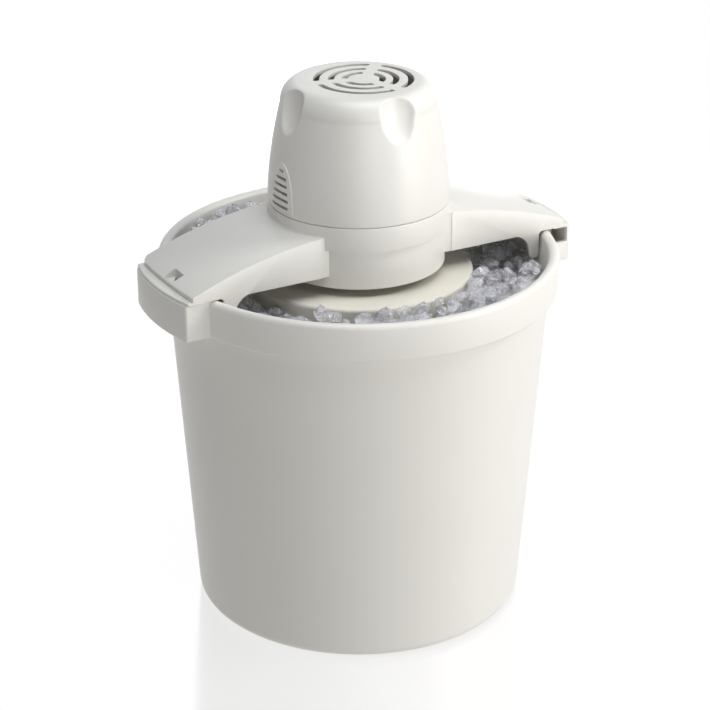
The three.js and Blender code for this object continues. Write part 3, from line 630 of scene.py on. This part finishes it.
def makeLid():
    s = lidSizes
    underside = s["top"] - s["thickness"]
    skirtEnd = s["top"] - s["skirt"]
    skirtInner = s["radius"] - s["wall"]
    hexTop = s["top"] + s["hexHeight"]
    dish = spun([
        (s["stemHole"], underside),
        (s["plugRadius"] - s["wall"], underside, 1.0),
        (s["plugRadius"] - s["wall"], underside - s["plugDepth"], 0.5),
        (s["plugRadius"], underside - s["plugDepth"], 0.5),
        (s["plugRadius"], s["seat"]),
        (skirtInner, s["seat"]),
        (skirtInner, skirtEnd, 0.6),
        (s["radius"], skirtEnd, 0.8),
        (s["radius"], s["top"], s["edge"]),
        (s["stemHole"], s["top"]),
    ])
    boss = softened(
        extruded(hexPoints(s["hexAcross"], s["hexRound"]), underside, hexTop), s["hexRound"], 3,
        lambda edge: bothEnds(edge, lambda co: co.z > hexTop - tiny),
    )
    half, notchTop = s["notchWidth"] / 2, skirtEnd + s["notchHeight"]
    outline = [
        (-half, skirtEnd - 1),
        (half, skirtEnd - 1),
        (half, notchTop, s["notchRound"]),
        (-half, notchTop, s["notchRound"]),
    ]
    notches = []
    for i in range(s["notches"]):
        notch = turned(extruded(outline, -s["radius"] - 1, -skirtInner + 1, True), 90)
        notches.append(turned(notch, s["notchAngle"] + 360 / s["notches"] * i))
    piece = joined(asObject("lid", dish), [boss])
    cut(piece, [rod(s["stemHole"], underside - 1, hexTop + 1, 64), *notches])
    finished(piece, "canister_cap", "canister_lid", "lid_cream", ["canister_lid"])


makeCanister()
makeLid()
print("canister and lid made")


dasherSizes = {
    "halfWidth": 66.0,
    "thickness": 5.0,
    "bar": 8.0,
    "bottom": 15.3,
    "top": 240.0,
    "bays": 3,
    "plateCorner": 4.0,
    "bayCorner": 3.0,
    "stemSide": 12.0,
    "stemTop": 290.0,
    "hubRadius": 14.0,
    "hubBottom": 13.3,
    "hubTop": 30.3,
    "cupRadius": 9.8,
    "cupTop": 19.4,
}


# an upright plate with rounded corners, spread to both sides of the middle
def roundedPlate(left, right, low, high, rounding, halfThick):
    return extruded(corners(left, right, low, high, rounding), -halfThick, halfThick, True)


def makeDasher():
    s = dasherSizes
    half, thick, stem = s["halfWidth"], s["thickness"] / 2, s["stemSide"] / 2
    plate = roundedPlate(-half, half, s["bottom"], s["top"], s["plateCorner"], thick)
    bayHeight = (s["top"] - s["bottom"] - s["bar"]) / s["bays"]
    bays = []
    for i in range(s["bays"]):
        low = s["bottom"] + s["bar"] + i * bayHeight
        high = low + bayHeight - s["bar"]
        for side in (-1, 1):
            inner, outer = side * stem, side * (half - s["bar"])
            left, right = min(inner, outer), max(inner, outer)
            bays.append(roundedPlate(left, right, low, high, s["bayCorner"], s["thickness"]))
    frameMesh = taken(cut(asObject("plate", plate), bays))
    softened(frameMesh, 1.2, 3, lambda edge: sharp(edge, 60))
    stemMesh = softened(
        block((-stem, -stem, s["bottom"]), (stem, stem, s["stemTop"])), 0.8, 3,
        lambda edge: sharp(edge) and edge.verts[0].co.z + edge.verts[1].co.z > s["bottom"] * 2 + 1,
    )
    hub = spun([
        (0, s["hubBottom"]),
        (s["hubRadius"], s["hubBottom"], 0.8),
        (s["hubRadius"], s["hubTop"], 2.0),
        (0, s["hubTop"]),
    ], 96)
    piece = joined(asObject("dasher", frameMesh), [stemMesh, hub])
    cut(piece, [rod(s["cupRadius"], s["hubBottom"] - 1, s["cupTop"], 64)])
    finished(piece, "dasher_paddle", "dasher", "dasher_white", ["dasher_frame"])


makeDasher()
print("dasher made")


bridgeSizes = {
    "bore": 20.7,
    "bellRadius": 61.7,
    "bellWall": 2.5,
    "bellBottom": 261.0,
    "collarBottom": 289.5,
    "collarTop": 307.0,
    "collarRadius": 64.3,
    "collarInner": 58.8,
    "deckTop": 292.5,
    "lipRadius": 61.4,
    "lipTop": 311.0,
    "armHalfWidth": 41.5,
    "armWall": 2.5,
    "rootReach": 52.5,
    "rootInset": 0.6,
    "armReach": 151.0,
    "armBow": 0.7,
    "crest": 299.8,
    "crestAt": 28.0,
    "topRadius": 312.2,
    "legInner": 116.6,
    "legTaper": 3.2,
    "legOuter": 126.9,
    "legBottom": 250.4,
    "legRounds": (11.0, 3.5, 2.5, 3.0),
    "archTop": 270.3,
    "seat": 269.8,
    "tipCorner": (4.0, 3.4),
    "flangeTop": 271.5,
    "flangeReach": 159.2,
    "flangeTurn": 15.0,
    "coveWidth": 2.5,
    "holeAt": (145.6, 2.0),
    "holeSize": (9.0, 14.0),
    "holeRound": 0.8,
    "holeFloor": 272.4,
    "tongueAt": (146.0, -25.0),
    "tongueSize": (3.0, 20.0),
    "tongueBottom": 259.0,
    "columnCircle": 55.0,
    "columnAngles": (45, 135, 225, 315),
    "columnRadius": 4.5,
    "columnTop": 312.7,
    "columnHole": 1.9,
    "postCircle": 46.0,
    "postAngles": (90, 210, 330),
    "postTop": 301.8,
    "postHole": 1.8,
    "pinHole": 2.3,
    "pinAt": (0, -30),
    "glandHole": 5.3,
    "glandReach": (53, 66),
    "glandHeight": 299.75,
}


# height of the arm's curved top, lowered by an inset
def armTopAt(x, inset=0.0):
    s = bridgeSizes
    radius = s["topRadius"] - inset
    return s["crest"] - s["topRadius"] + math.sqrt(radius ** 2 - (x - s["crestAt"]) ** 2)


def armTopPoints(outer, inner, steps, inset=0.0):
    places = [outer + (inner - outer) * i / steps for i in range(steps + 1)]
    return [(x, armTopAt(x, inset)) for x in places]


# the arm from the side, with its leg and the arch over the bucket's rim
def armSide():
    s = bridgeSizes
    rim = bucketSizes["rimRadius"]
    fillet, heel, toe, arch = s["legRounds"]
    points = [
        (30, s["seat"]),
        (s["legInner"], s["seat"], fillet),
        (s["legInner"] + s["legTaper"], s["legBottom"], heel),
        (s["legOuter"], s["legBottom"], toe),
        (s["legOuter"], s["archTop"], arch),
        (rim, s["archTop"]),
        (rim + 0.5, s["seat"]),
        *armTopPoints(s["armReach"] + 4, 30, 36),
    ]
    return extruded(points, -s["armHalfWidth"], s["armHalfWidth"], True, 8)


# the arm from above, with one corner cut off and a slightly bowed end
def armPlan():
    s = bridgeSizes
    wide, reach, bow = s["armHalfWidth"], s["armReach"], s["armBow"]
    cutLong, cutWide = s["tipCorner"]
    corner = reach - bow
    bowed = [(reach + bow - 2 * bow * (i / 6) ** 2, wide * i / 6) for i in range(-5, 6)]
    points = [
        (0, -wide),
        (corner - cutLong, -wide, 0.8),
        (corner - 0.6, cutWide - wide, 0.8),
        *bowed,
        (corner, wide, 0.8),
        (0, wide),
    ]
    return extruded(points, s["legBottom"] - 5, s["crest"] + 5, False, 4)


# the hole near the tip, and the three-cornered opening in its floor
def tipHole():
    s = bridgeSizes
    (middleX, middleY), (long, wide), rounding = s["holeAt"], s["holeSize"], s["holeRound"]
    left, right = middleX - long / 2, middleX + long / 2
    near, far = middleY - wide / 2, middleY + wide / 2
    square = corners(left, right, near, far, rounding)
    opening = [(left + 0.4, middleY - 6.2), (middleX + 0.4, middleY + 0.5), (left + 0.4, middleY + 6.2)]
    return [extruded(square, s["holeFloor"], s["crest"]), extruded(opening, s["legBottom"], s["crest"])]


def arm(angle):
    s = bridgeSizes
    wide = s["armHalfWidth"]
    piece = combined(asObject("arm", armSide()), [armPlan()], "INTERSECT")

    def onTop(co):
        return abs(co.z - armTopAt(co.x)) < 0.02 and co.x > 31

    def onUnderside(co):
        return co.z < s["seat"] + 1 and co.x > 31

    def roundEdges(bm):
        softened(bm, 0.7, 3, lambda edge: sharp(edge, 50) and bothEnds(edge, onTop))
        softened(bm, 0.4, 2, lambda edge: sharp(edge, 70) and bothEnds(edge, onUnderside))

    reshaped(piece, roundEdges)
    end = s["legOuter"] + 3
    inside = extruded(
        [(20, s["legBottom"] - 2), (end, s["legBottom"] - 2), *armTopPoints(end, 20, 24, s["armWall"])],
        s["armWall"] - wide, wide - s["armWall"], True,
    )
    notch = wide - s["rootInset"]
    steps = [
        block((0, low, s["legBottom"]), (s["rootReach"], high, s["crest"] + 1))
        for low, high in ((notch, wide + 1), (-wide - 1, -notch))
    ]
    turn = s["flangeTurn"]
    flange = softened(
        extruded(
            [(140, -wide), *arcPoints(s["flangeReach"], -turn, turn, 10, 1.3), (140, wide)],
            s["seat"], s["flangeTop"],
        ),
        0.6, 3, lambda edge: bothEnds(edge, lambda co: co.z > s["flangeTop"] - tiny and co.x > 141),
    )
    tongueX, tongueY = s["tongueAt"]
    tongueThick, tongueWide = s["tongueSize"]
    tongue = block(
        (tongueX, tongueY, s["tongueBottom"]),
        (tongueX + tongueThick, tongueY + tongueWide, armTopAt(tongueX + tongueThick) - 1.2),
    )
    cut(piece, [inside, *steps])
    joined(piece, [flange, tongue])
    cut(piece, tipHole())
    return turned(taken(piece), angle)


# soft hollow between the collar and the top of the arm
def cove(angle):
    s = bridgeSizes
    inner, wide = s["collarRadius"] - 1.0, s["coveWidth"]
    outer = s["collarRadius"] + wide
    low = armTopAt(outer) + 0.15
    curve = [
        (outer - wide * math.sin(math.radians(a)), low + wide * (1 - math.cos(math.radians(a))))
        for a in range(0, 91, 9)
    ]
    ring = spun([(inner, low - 5), (outer, low - 5), *curve, (inner, low + wide)], 240)
    halfWidth = s["armHalfWidth"] - s["rootInset"] - 0.9
    room = block((30, -halfWidth, s["collarBottom"] - 9.5), (90, halfWidth, s["collarTop"] + 3))
    made = combined(asObject("cove", ring), [room], "INTERSECT")
    return turned(taken(made), angle)


def makeBridge():
    s = bridgeSizes
    bellInner = s["bellRadius"] - s["bellWall"]
    ring = spun([
        (s["bore"], s["collarBottom"]),
        (bellInner, s["collarBottom"], 1.0),
        (bellInner, s["bellBottom"], 0.6),
        (s["bellRadius"], s["bellBottom"], 1.1),
        (s["bellRadius"], s["collarBottom"]),
        (s["collarRadius"], s["collarBottom"], 0.5),
        (s["collarRadius"], s["collarTop"], 0.7),
        (s["lipRadius"], s["collarTop"]),
        (s["lipRadius"], s["lipTop"], 0.5),
        (s["collarInner"], s["lipTop"], 0.5),
        (s["collarInner"], s["deckTop"], 1.0),
        (s["bore"], s["deckTop"]),
    ], 240)
    within = [
        rod(bellInner, s["legBottom"] - 5, s["collarBottom"], 240),
        rod(s["collarInner"], s["collarBottom"] - 1, s["lipTop"] + 5, 240),
    ]
    arms = []
    for angle in (0, 180):
        part = joined(asObject("arm", arm(angle)), [cove(angle)])
        arms.append(taken(cut(part, [shape.copy() for shape in within])))
    for shape in within:
        shape.free()
    onColumns, onPosts = (s["columnCircle"], s["columnAngles"]), (s["postCircle"], s["postAngles"])
    columns = rodsOn(*onColumns, s["columnRadius"], s["deckTop"] - 1, s["columnTop"])
    posts = rodsOn(*onPosts, s["columnRadius"], s["deckTop"] - 1, s["postTop"])
    piece = joined(asObject("bridge", ring), [*arms, *columns, *posts])
    gland = moved(turned(rod(s["glandHole"], *s["glandReach"], 48), -90, "X"), 0, 0, s["glandHeight"])
    columnHoles = rodsOn(*onColumns, s["columnHole"], s["collarBottom"] - 1, s["columnTop"] + 2, 24)
    postHoles = rodsOn(*onPosts, s["postHole"], s["deckTop"] + 1, s["postTop"] + 2, 24)
    pinHole = moved(rod(s["pinHole"], s["collarBottom"] - 1, s["deckTop"] + 1, 24), *s["pinAt"])
    cut(piece, [gland, pinHole, *columnHoles, *postHoles])
    finished(piece, "bridge_shell", "motor_unit", "shell_white", ["bridge_housing"])


makeBridge()
print("bridge made")


coverSizes = {
    "bottom": 307.3,
    "top": 393.0,
    "radius": 64.3,
    "wall": 2.5,
    "shoulderHeight": 378.0,
    "shoulderInset": 9.5,
    "crownRadius": 43.0,
    "crownRings": (41, 39, 30, 20, 10),
    "bulge": 1.76,
    "dimpleAngles": (1.0, 91.0, 181.0, 271.0),
    "dimpleBall": (19.5, 20.0, 31.5),
    "dimpleOffset": 65.7,
    "dimpleHeight": 392.0,
    "dimpleWall": 2.0,
    "dimpleBlend": 0.9,
    "grilleShift": 4.0,
    "grilleRings": ((10.9, 15.5), (20.4, 24.9), (30.7, 35.1)),
    "grilleCorner": 1.9,
    "spokeAngle": 46.7,
    "spokeWidth": 8.0,
    "ventAngles": (92.4, -87.6),
    "ventSlots": (10.5, 10.4, 9.5, 8.4, 7.1, 2.9),
    "ventBottom": 313.0,
    "ventPitch": 5.0,
    "ventSlot": 2.1,
    "ventCorner": 0.75,
    "ventReach": (50, 68),
    "panelHalfWidth": 15.2,
    "panelBottom": 309.6,
    "panelTop": 343.5,
    "panelProud": 0.6,
    "columnBottom": 315.3,
    "columnTop": 352.0,
    "boreTop": 338.5,
}


def coverRadius(height):
    s = coverSizes
    share = max(0.0, (height - s["bottom"]) / (s["shoulderHeight"] - s["bottom"]))
    return s["radius"] - s["shoulderInset"] * share ** s["bulge"]


# points up the outside of the cover and over its shoulder, moved in by an inset
def coverCurve(inset, rows, shoulderRows):
    s = coverSizes
    rise = s["shoulderHeight"] - s["bottom"]
    heights = [s["bottom"] + rise * i / rows for i in range(rows)]
    wall = [(coverRadius(height) - inset, height) for height in heights]
    across = s["radius"] - s["shoulderInset"] - s["crownRadius"] - inset
    up = s["top"] - s["shoulderHeight"] - inset
    turns = [math.pi / 2 * i / shoulderRows for i in range(shoulderRows + 1)]
    shoulder = [
        (s["crownRadius"] + across * math.cos(turn), s["shoulderHeight"] + up * math.sin(turn))
        for turn in turns
    ]
    return wall + shoulder


# how far a scoop moves a point in, eased at its edge
def scooped(bm, grown):
    s = coverSizes
    outward, across, upward = (size + grown for size in s["dimpleBall"])
    ease = s["dimpleBlend"]
    for angle in s["dimpleAngles"]:
        direction = Vector((*polar(1, angle), 0))
        sideways = Vector((-direction.y, direction.x, 0))
        for vert in bm.verts:
            along, beside = vert.co.dot(direction), vert.co.dot(sideways)
            left = 1 - (beside / across) ** 2 - ((vert.co.z - s["dimpleHeight"]) / upward) ** 2
            if along < 30 or left <= 0:
                continue
            past = along - (s["dimpleOffset"] - outward * math.sqrt(left))
            depth = past if past > ease else (past + ease) ** 2 / (4 * ease) if past > -ease else 0.0
            vert.co -= direction * depth
    return bm


def grilleSlot(inner, outer, index):
    s = coverSizes
    middle = s["spokeAngle"] + 120 * (index + 0.5)
    outerEnd = 60 - math.degrees(s["spokeWidth"] / 2 / outer)
    innerEnd = 60 - math.degrees(s["spokeWidth"] / 2 / inner)
    points = arcPoints(outer, middle - outerEnd, middle + outerEnd, 24, s["grilleCorner"])
    points += arcPoints(inner, middle + innerEnd, middle - innerEnd, 24, s["grilleCorner"])
    return moved(extruded(points, s["top"] - s["wall"] - 2, s["top"] + 2), s["grilleShift"], 0)


def ventSlot(index, angle):
    s = coverSizes
    half, height = s["ventSlots"][index], s["ventBottom"] + s["ventPitch"] * index
    thick = s["ventSlot"] / 2
    outline = corners(-half, half, height - thick, height + thick, s["ventCorner"])
    return turned(extruded(outline, *s["ventReach"], True), angle)


def ventPanel(angle):
    s = coverSizes
    wide, low, tall = s["panelHalfWidth"], s["panelBottom"], s["panelTop"] - s["panelBottom"]
    turns = [math.radians(degrees) for degrees in range(0, 181, 6)]
    arch = [(wide * math.cos(turn), low + tall * math.sin(turn)) for turn in turns]
    inner, outer = s["ventReach"]
    curve = coverCurve(-s["panelProud"], 40, 8)[1:44]
    skin = spun([(inner, s["bottom"] + 1), *curve, (inner, s["top"] - 9)], 240)
    panel = asObject("panel", extruded(arch, inner, outer, True))
    bm = taken(combined(panel, [turned(skin, -angle)], "INTERSECT"))
    softened(bm, 0.45, 2, lambda edge: sharp(edge, 50) and bothEnds(edge, lambda co: co.y > 55))
    return turned(bm, angle)


def makeCover():
    s = coverSizes
    outside = spun([
        (0, s["bottom"]),
        (s["radius"] - 0.6, s["bottom"]),
        (s["radius"], s["bottom"] + 0.6),
        *coverCurve(0, 64, 20)[1:],
        *[(radius, s["top"]) for radius in s["crownRings"]],
        (0, s["top"]),
    ], 320)
    inside = spun([
        (0, s["bottom"] - 2),
        (s["radius"] - s["wall"], s["bottom"] - 2),
        *coverCurve(s["wall"], 40, 12),
        (0, s["top"] - s["wall"]),
    ], 320)
    piece = asObject("cover", scooped(outside, 0.0))
    cut(piece, [scooped(inside, s["dimpleWall"])])
    onColumns = bridgeSizes["columnCircle"], bridgeSizes["columnAngles"]
    bosses = rodsOn(*onColumns, bridgeSizes["columnRadius"], s["columnBottom"], s["columnTop"])
    joined(piece, [*[ventPanel(angle) for angle in s["ventAngles"]], *bosses])
    bores = rodsOn(*onColumns, bridgeSizes["columnHole"], s["columnBottom"] - 1, s["boreTop"], 24)
    slots = [grilleSlot(*ring, index) for ring in s["grilleRings"] for index in range(3)]
    vents = [ventSlot(i, angle) for i in range(len(s["ventSlots"])) for angle in s["ventAngles"]]
    cut(piece, [*bores, *slots, *vents])

    def grilleEdge(edge):
        return sharp(edge, 60) and bothEnds(edge, lambda co: co.z > s["top"] - 0.01 and co.xy.length < 41.5)

    reshaped(piece, lambda bm: softened(bm, 0.7, 3, grilleEdge))
    finished(piece, "motor_dome", "motor_unit", "shell_white", ["motor_cover"])


makeCover()
print("cover made")


driveSizes = {
    "couplerRadius": 24.0,
    "couplerBottom": 257.6,
    "shoulder": 283.0,
    "neckRadius": 18.0,
    "neckTop": 292.5,
    "bore": 11.0,
    "hexAcross": 34.8,
    "hexRoof": 273.0,
    "hexRound": 0.6,
    "screwHole": 1.25,
    "screwBottom": 288.1,
    "bushInner": 18.4,
    "bushOuter": 20.4,
    "bushFlange": 23.4,
    "bushBottom": 283.3,
    "bushStep": 289.2,
}


def makeDrive():
    s = driveSizes
    body = spun([
        (0, s["couplerBottom"]),
        (s["couplerRadius"], s["couplerBottom"], 1.5),
        (s["couplerRadius"], s["shoulder"], 1.0),
        (s["neckRadius"], s["shoulder"], 0.5),
        (s["neckRadius"], s["neckTop"], 0.5),
        (0, s["neckTop"]),
    ], 128)
    socket = extruded(hexPoints(s["hexAcross"], s["hexRound"]), s["couplerBottom"] - 1, s["hexRoof"])
    circle = (s["bore"] + s["neckRadius"]) / 2
    screws = rodsOn(circle, (0, 120, 240), s["screwHole"], s["screwBottom"], s["neckTop"] + 1, 24)
    bore = rod(s["bore"], s["hexRoof"] - 1, s["neckTop"] + 1, 96)
    piece = cut(asObject("coupler", body), [socket, bore, *screws])
    finished(piece, "drive_socket", "output_drive", "nylon", ["drive_coupler"])
    bush = spun([
        (s["bushInner"], s["bushBottom"], 0.3),
        (s["bushFlange"], s["bushBottom"], 0.6),
        (s["bushFlange"], s["bushStep"], 0.4),
        (s["bushOuter"], s["bushStep"]),
        (s["bushOuter"], s["neckTop"], 0.3),
        (s["bushInner"], s["neckTop"], 0.3),
    ], 128)
    finished(asObject("bush", bush), "drive_bush", "motor_unit", "bronze", ["output_bush"])


makeDrive()
print("drive made")


# the other CAD nodes keep their shape and take their slot's finish
for entry in frame["record"]["subparts"]:
    node = cadNodes[entry["node"]]
    if not node.hide_render:
        node.data.materials.clear()
        node.data.materials.append(finishes[entry["material_slot"]])
print("inner pieces finished")


iceLooks = {
    "seed": 7,
    "rows": ((89.5, 36), (99.5, 38), (110.0, 42), (120.5, 46), (129.0, 50)),
    "size": 6.6,
    "least": 4.0,
    "corners": 16,
    "room": (80.5, 133.0),
    "level": 250.0,
    "layerDrop": 9.0,
    "frontAngle": -75.0,
    "frontRise": 4.0,
    "backAngle": 112.0,
    "backRise": 12.5,
    "underArms": (45, 50),
    "armLevel": 245.5,
}


# height of the heap's surface, which rises at the front and more at the back
def iceLevel(angle):
    s = iceLooks
    front = max(0.0, math.cos(math.radians(angle - s["frontAngle"])))
    back = max(0.0, math.cos(math.radians(angle - s["backAngle"])))
    return s["level"] + s["frontRise"] * front + s["backRise"] * back


# one clear lump with a broken outline
def iceLump(draw, size):
    lump = bmesh.new()
    for _ in range(iceLooks["corners"]):
        way = Vector([draw.gauss(0, 1) for _ in range(3)]).normalized()
        lump.verts.new(way * size * draw.uniform(0.8, 1.0))
    bmesh.ops.convex_hull(lump, input=lump.verts[:])
    loose = [vert for vert in lump.verts if not vert.link_faces]
    bmesh.ops.delete(lump, geom=loose, context="VERTS")
    stretch = Vector((draw.uniform(0.85, 1.2), draw.uniform(0.85, 1.2), draw.uniform(0.7, 0.95)))
    bmesh.ops.scale(lump, verts=lump.verts[:], vec=stretch)
    return turned(lump, draw.uniform(0, 360))


# loose clear lumps in the bucket, which are its contents and not a part of the machine
def scatterIce():
    s = iceLooks
    draw = random.Random(s["seed"])
    heap = bmesh.new()
    inner, outer = s["room"]
    armFrom, armBeside = s["underArms"]
    for drop in (s["layerDrop"], 0.0):
        for radius, count in s["rows"]:
            for i in range(count):
                angle = 360.0 * (i + draw.uniform(-0.3, 0.3)) / count
                reach = radius + draw.uniform(-2.5, 2.5)
                size = s["size"] * draw.uniform(0.7, 1.45)
                height = iceLevel(angle) + draw.uniform(-3.0, 3.0) - drop
                if reach + size > outer or reach - size < inner:
                    size = max(s["least"], min(outer - reach, reach - inner))
                x, y = polar(reach, angle)
                if abs(y) < armBeside and abs(x) > armFrom:
                    height = min(height, s["armLevel"] - drop)
                lump = moved(iceLump(draw, size), x, y, height)
                part = bpy.data.meshes.new("lump")
                lump.to_mesh(part)
                lump.free()
                heap.from_mesh(part)
                bpy.data.meshes.remove(part)
    softened(heap, 0.5, 2, lambda edge: sharp(edge, 12))
    bmesh.ops.recalc_face_normals(heap, faces=heap.faces[:])
    ice = asObject("ice_lumps", heap)
    shaded(ice.data, 45)
    ice.data.materials.append(clearIce("clearIce"))
    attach(ice, "bucket")


scatterIce()
print("ice scattered")


stageLooks = {
    "distance": 1450.0,
    "height": 844.0,
    "azimuth": -29.3,
    "pitch": 24.48,
    "lens": 110.59,
    "shift": -0.00503,
    "floor": 6.0,
    "floorBounce": 0.5,
    "floorMirror": 0.30,
    "floorPaint": 0.14,
    "floorGlow": 1.1,
    "skyFill": 0.04,
    "lampAim": (0.0, 0.0, 0.22),
}

# name, azimuth, elevation, distance, (width, height), power and colour of each lamp
lampPlan = (
    ("keyRight", 60.7, 38.0, 1.9, (0.55, 0.55), 12.5, (1.0, 0.985, 0.96)),
    ("lowRight", 40.0, 4.0, 1.7, (0.9, 0.9), 10.3, (1.0, 0.99, 0.97)),
    ("lowFront", 30.0, 2.0, 1.7, (0.6, 1.0), 4.5, (1.0, 0.99, 0.97)),
    ("front", -14.0, 4.0, 2.2, (1.2, 1.2), 11.5, (1.0, 0.99, 0.98)),
    ("stripLeft", -84.0, 8.0, 1.5, (0.3, 1.2), 0.6, (1.0, 0.97, 0.93)),
    ("overhead", -10.0, 80.0, 1.8, (1.2, 1.2), 18.5, (0.93, 0.96, 1.0)),
    ("behind", 151.0, -3.0, 2.0, (0.8, 0.4), 4.0, (1.0, 0.99, 0.98)),
)


def setCamera():
    s = stageLooks
    camera = bpy.data.objects.new("camera", bpy.data.cameras.new("camera"))
    scene.collection.objects.link(camera)
    turn = math.radians(s["azimuth"])
    place = (s["distance"] * math.sin(turn), -s["distance"] * math.cos(turn), s["height"])
    camera.location = [value * mm for value in place]
    camera.rotation_euler = (math.radians(90 - s["pitch"]), 0, turn)
    camera.data.lens = s["lens"]
    camera.data.sensor_width = 36.0
    camera.data.shift_x = s["shift"]
    camera.data.clip_start = 0.05
    camera.data.clip_end = 50.0
    scene.camera = camera


# share of a view that meets the camera, a mirror or glass, which all see the white stage
def seenWhite(finish):
    camera, glossy, through = (
        finish.add("LightPath", {}, {}, "Is %s Ray" % kind) for kind in ("Camera", "Glossy", "Transmission")
    )
    return camera + glossy + through


# white in the picture, with a faint mirror image and shadow, and a plain glow for all that it lights
def setFloor():
    s = stageLooks
    bm = bmesh.new()
    bmesh.ops.create_grid(bm, x_segments=1, y_segments=1, size=s["floor"] / 2)
    floor = asObject("floor", bm)
    finish = newFinish("paleFloor")
    cloud = finish.noise(3.0)
    pale = finish.mix(cloud, rgb(0.90, 0.90, 0.90), rgb(0.88, 0.88, 0.88))
    paint = finish.add("BsdfPrincipled", {}, {"Base Color": pale, "Roughness": 0.5})
    mirror = finish.add("BsdfGlossy", {}, {"Color": rgb(1, 1, 1), "Roughness": 0.14})
    glow = finish.add("Emission", {}, {"Color": rgb(1, 1, 1), "Strength": s["floorGlow"]})
    bounce = finish.add("Emission", {}, {"Color": rgb(1.0, 0.985, 0.96), "Strength": s["floorBounce"]})
    lit = finish.add("MixShader", {}, {0: s["floorPaint"], 1: glow, 2: paint})
    both = finish.add("MixShader", {}, {0: s["floorMirror"], 1: lit, 2: mirror})
    shown = finish.add("MixShader", {}, {0: seenWhite(finish), 1: bounce, 2: both})
    finish.add("OutputMaterial", {}, {"Surface": shown})
    floor.data.materials.append(finish.owner)


# an area lamp that faces the object, placed round it by azimuth and elevation
def lamp(name, azimuth, elevation, distance, size, power, colour):
    light = bpy.data.lights.new(name, "AREA")
    light.shape = "RECTANGLE"
    light.size, light.size_y = size
    light.energy = power
    light.color = colour
    made = bpy.data.objects.new(name, light)
    scene.collection.objects.link(made)
    turn, rise = math.radians(azimuth), math.radians(elevation)
    way = Vector((math.sin(turn) * math.cos(rise), -math.cos(turn) * math.cos(rise), math.sin(rise)))
    made.location = Vector(stageLooks["lampAim"]) + way * distance
    made.rotation_mode = "QUATERNION"
    made.rotation_quaternion = (-way).to_track_quat("-Z", "Y")


# white behind the object and a softer fill for all that it lights
def setLights():
    scene.world = bpy.data.worlds.new("studio")
    sky = Finish(scene.world)
    fill = sky.add("Background", {}, {0: rgb(0.94, 0.96, 1.0), 1: stageLooks["skyFill"]})
    white = sky.add("Background", {}, {0: rgb(1, 1, 1), 1: 1.0})
    both = sky.add("MixShader", {}, {0: seenWhite(sky), 1: fill, 2: white})
    sky.add("OutputWorld", {}, {"Surface": both})
    for plan in lampPlan:
        lamp(*plan)


setCamera()
setFloor()
setLights()
print("camera and lights set")
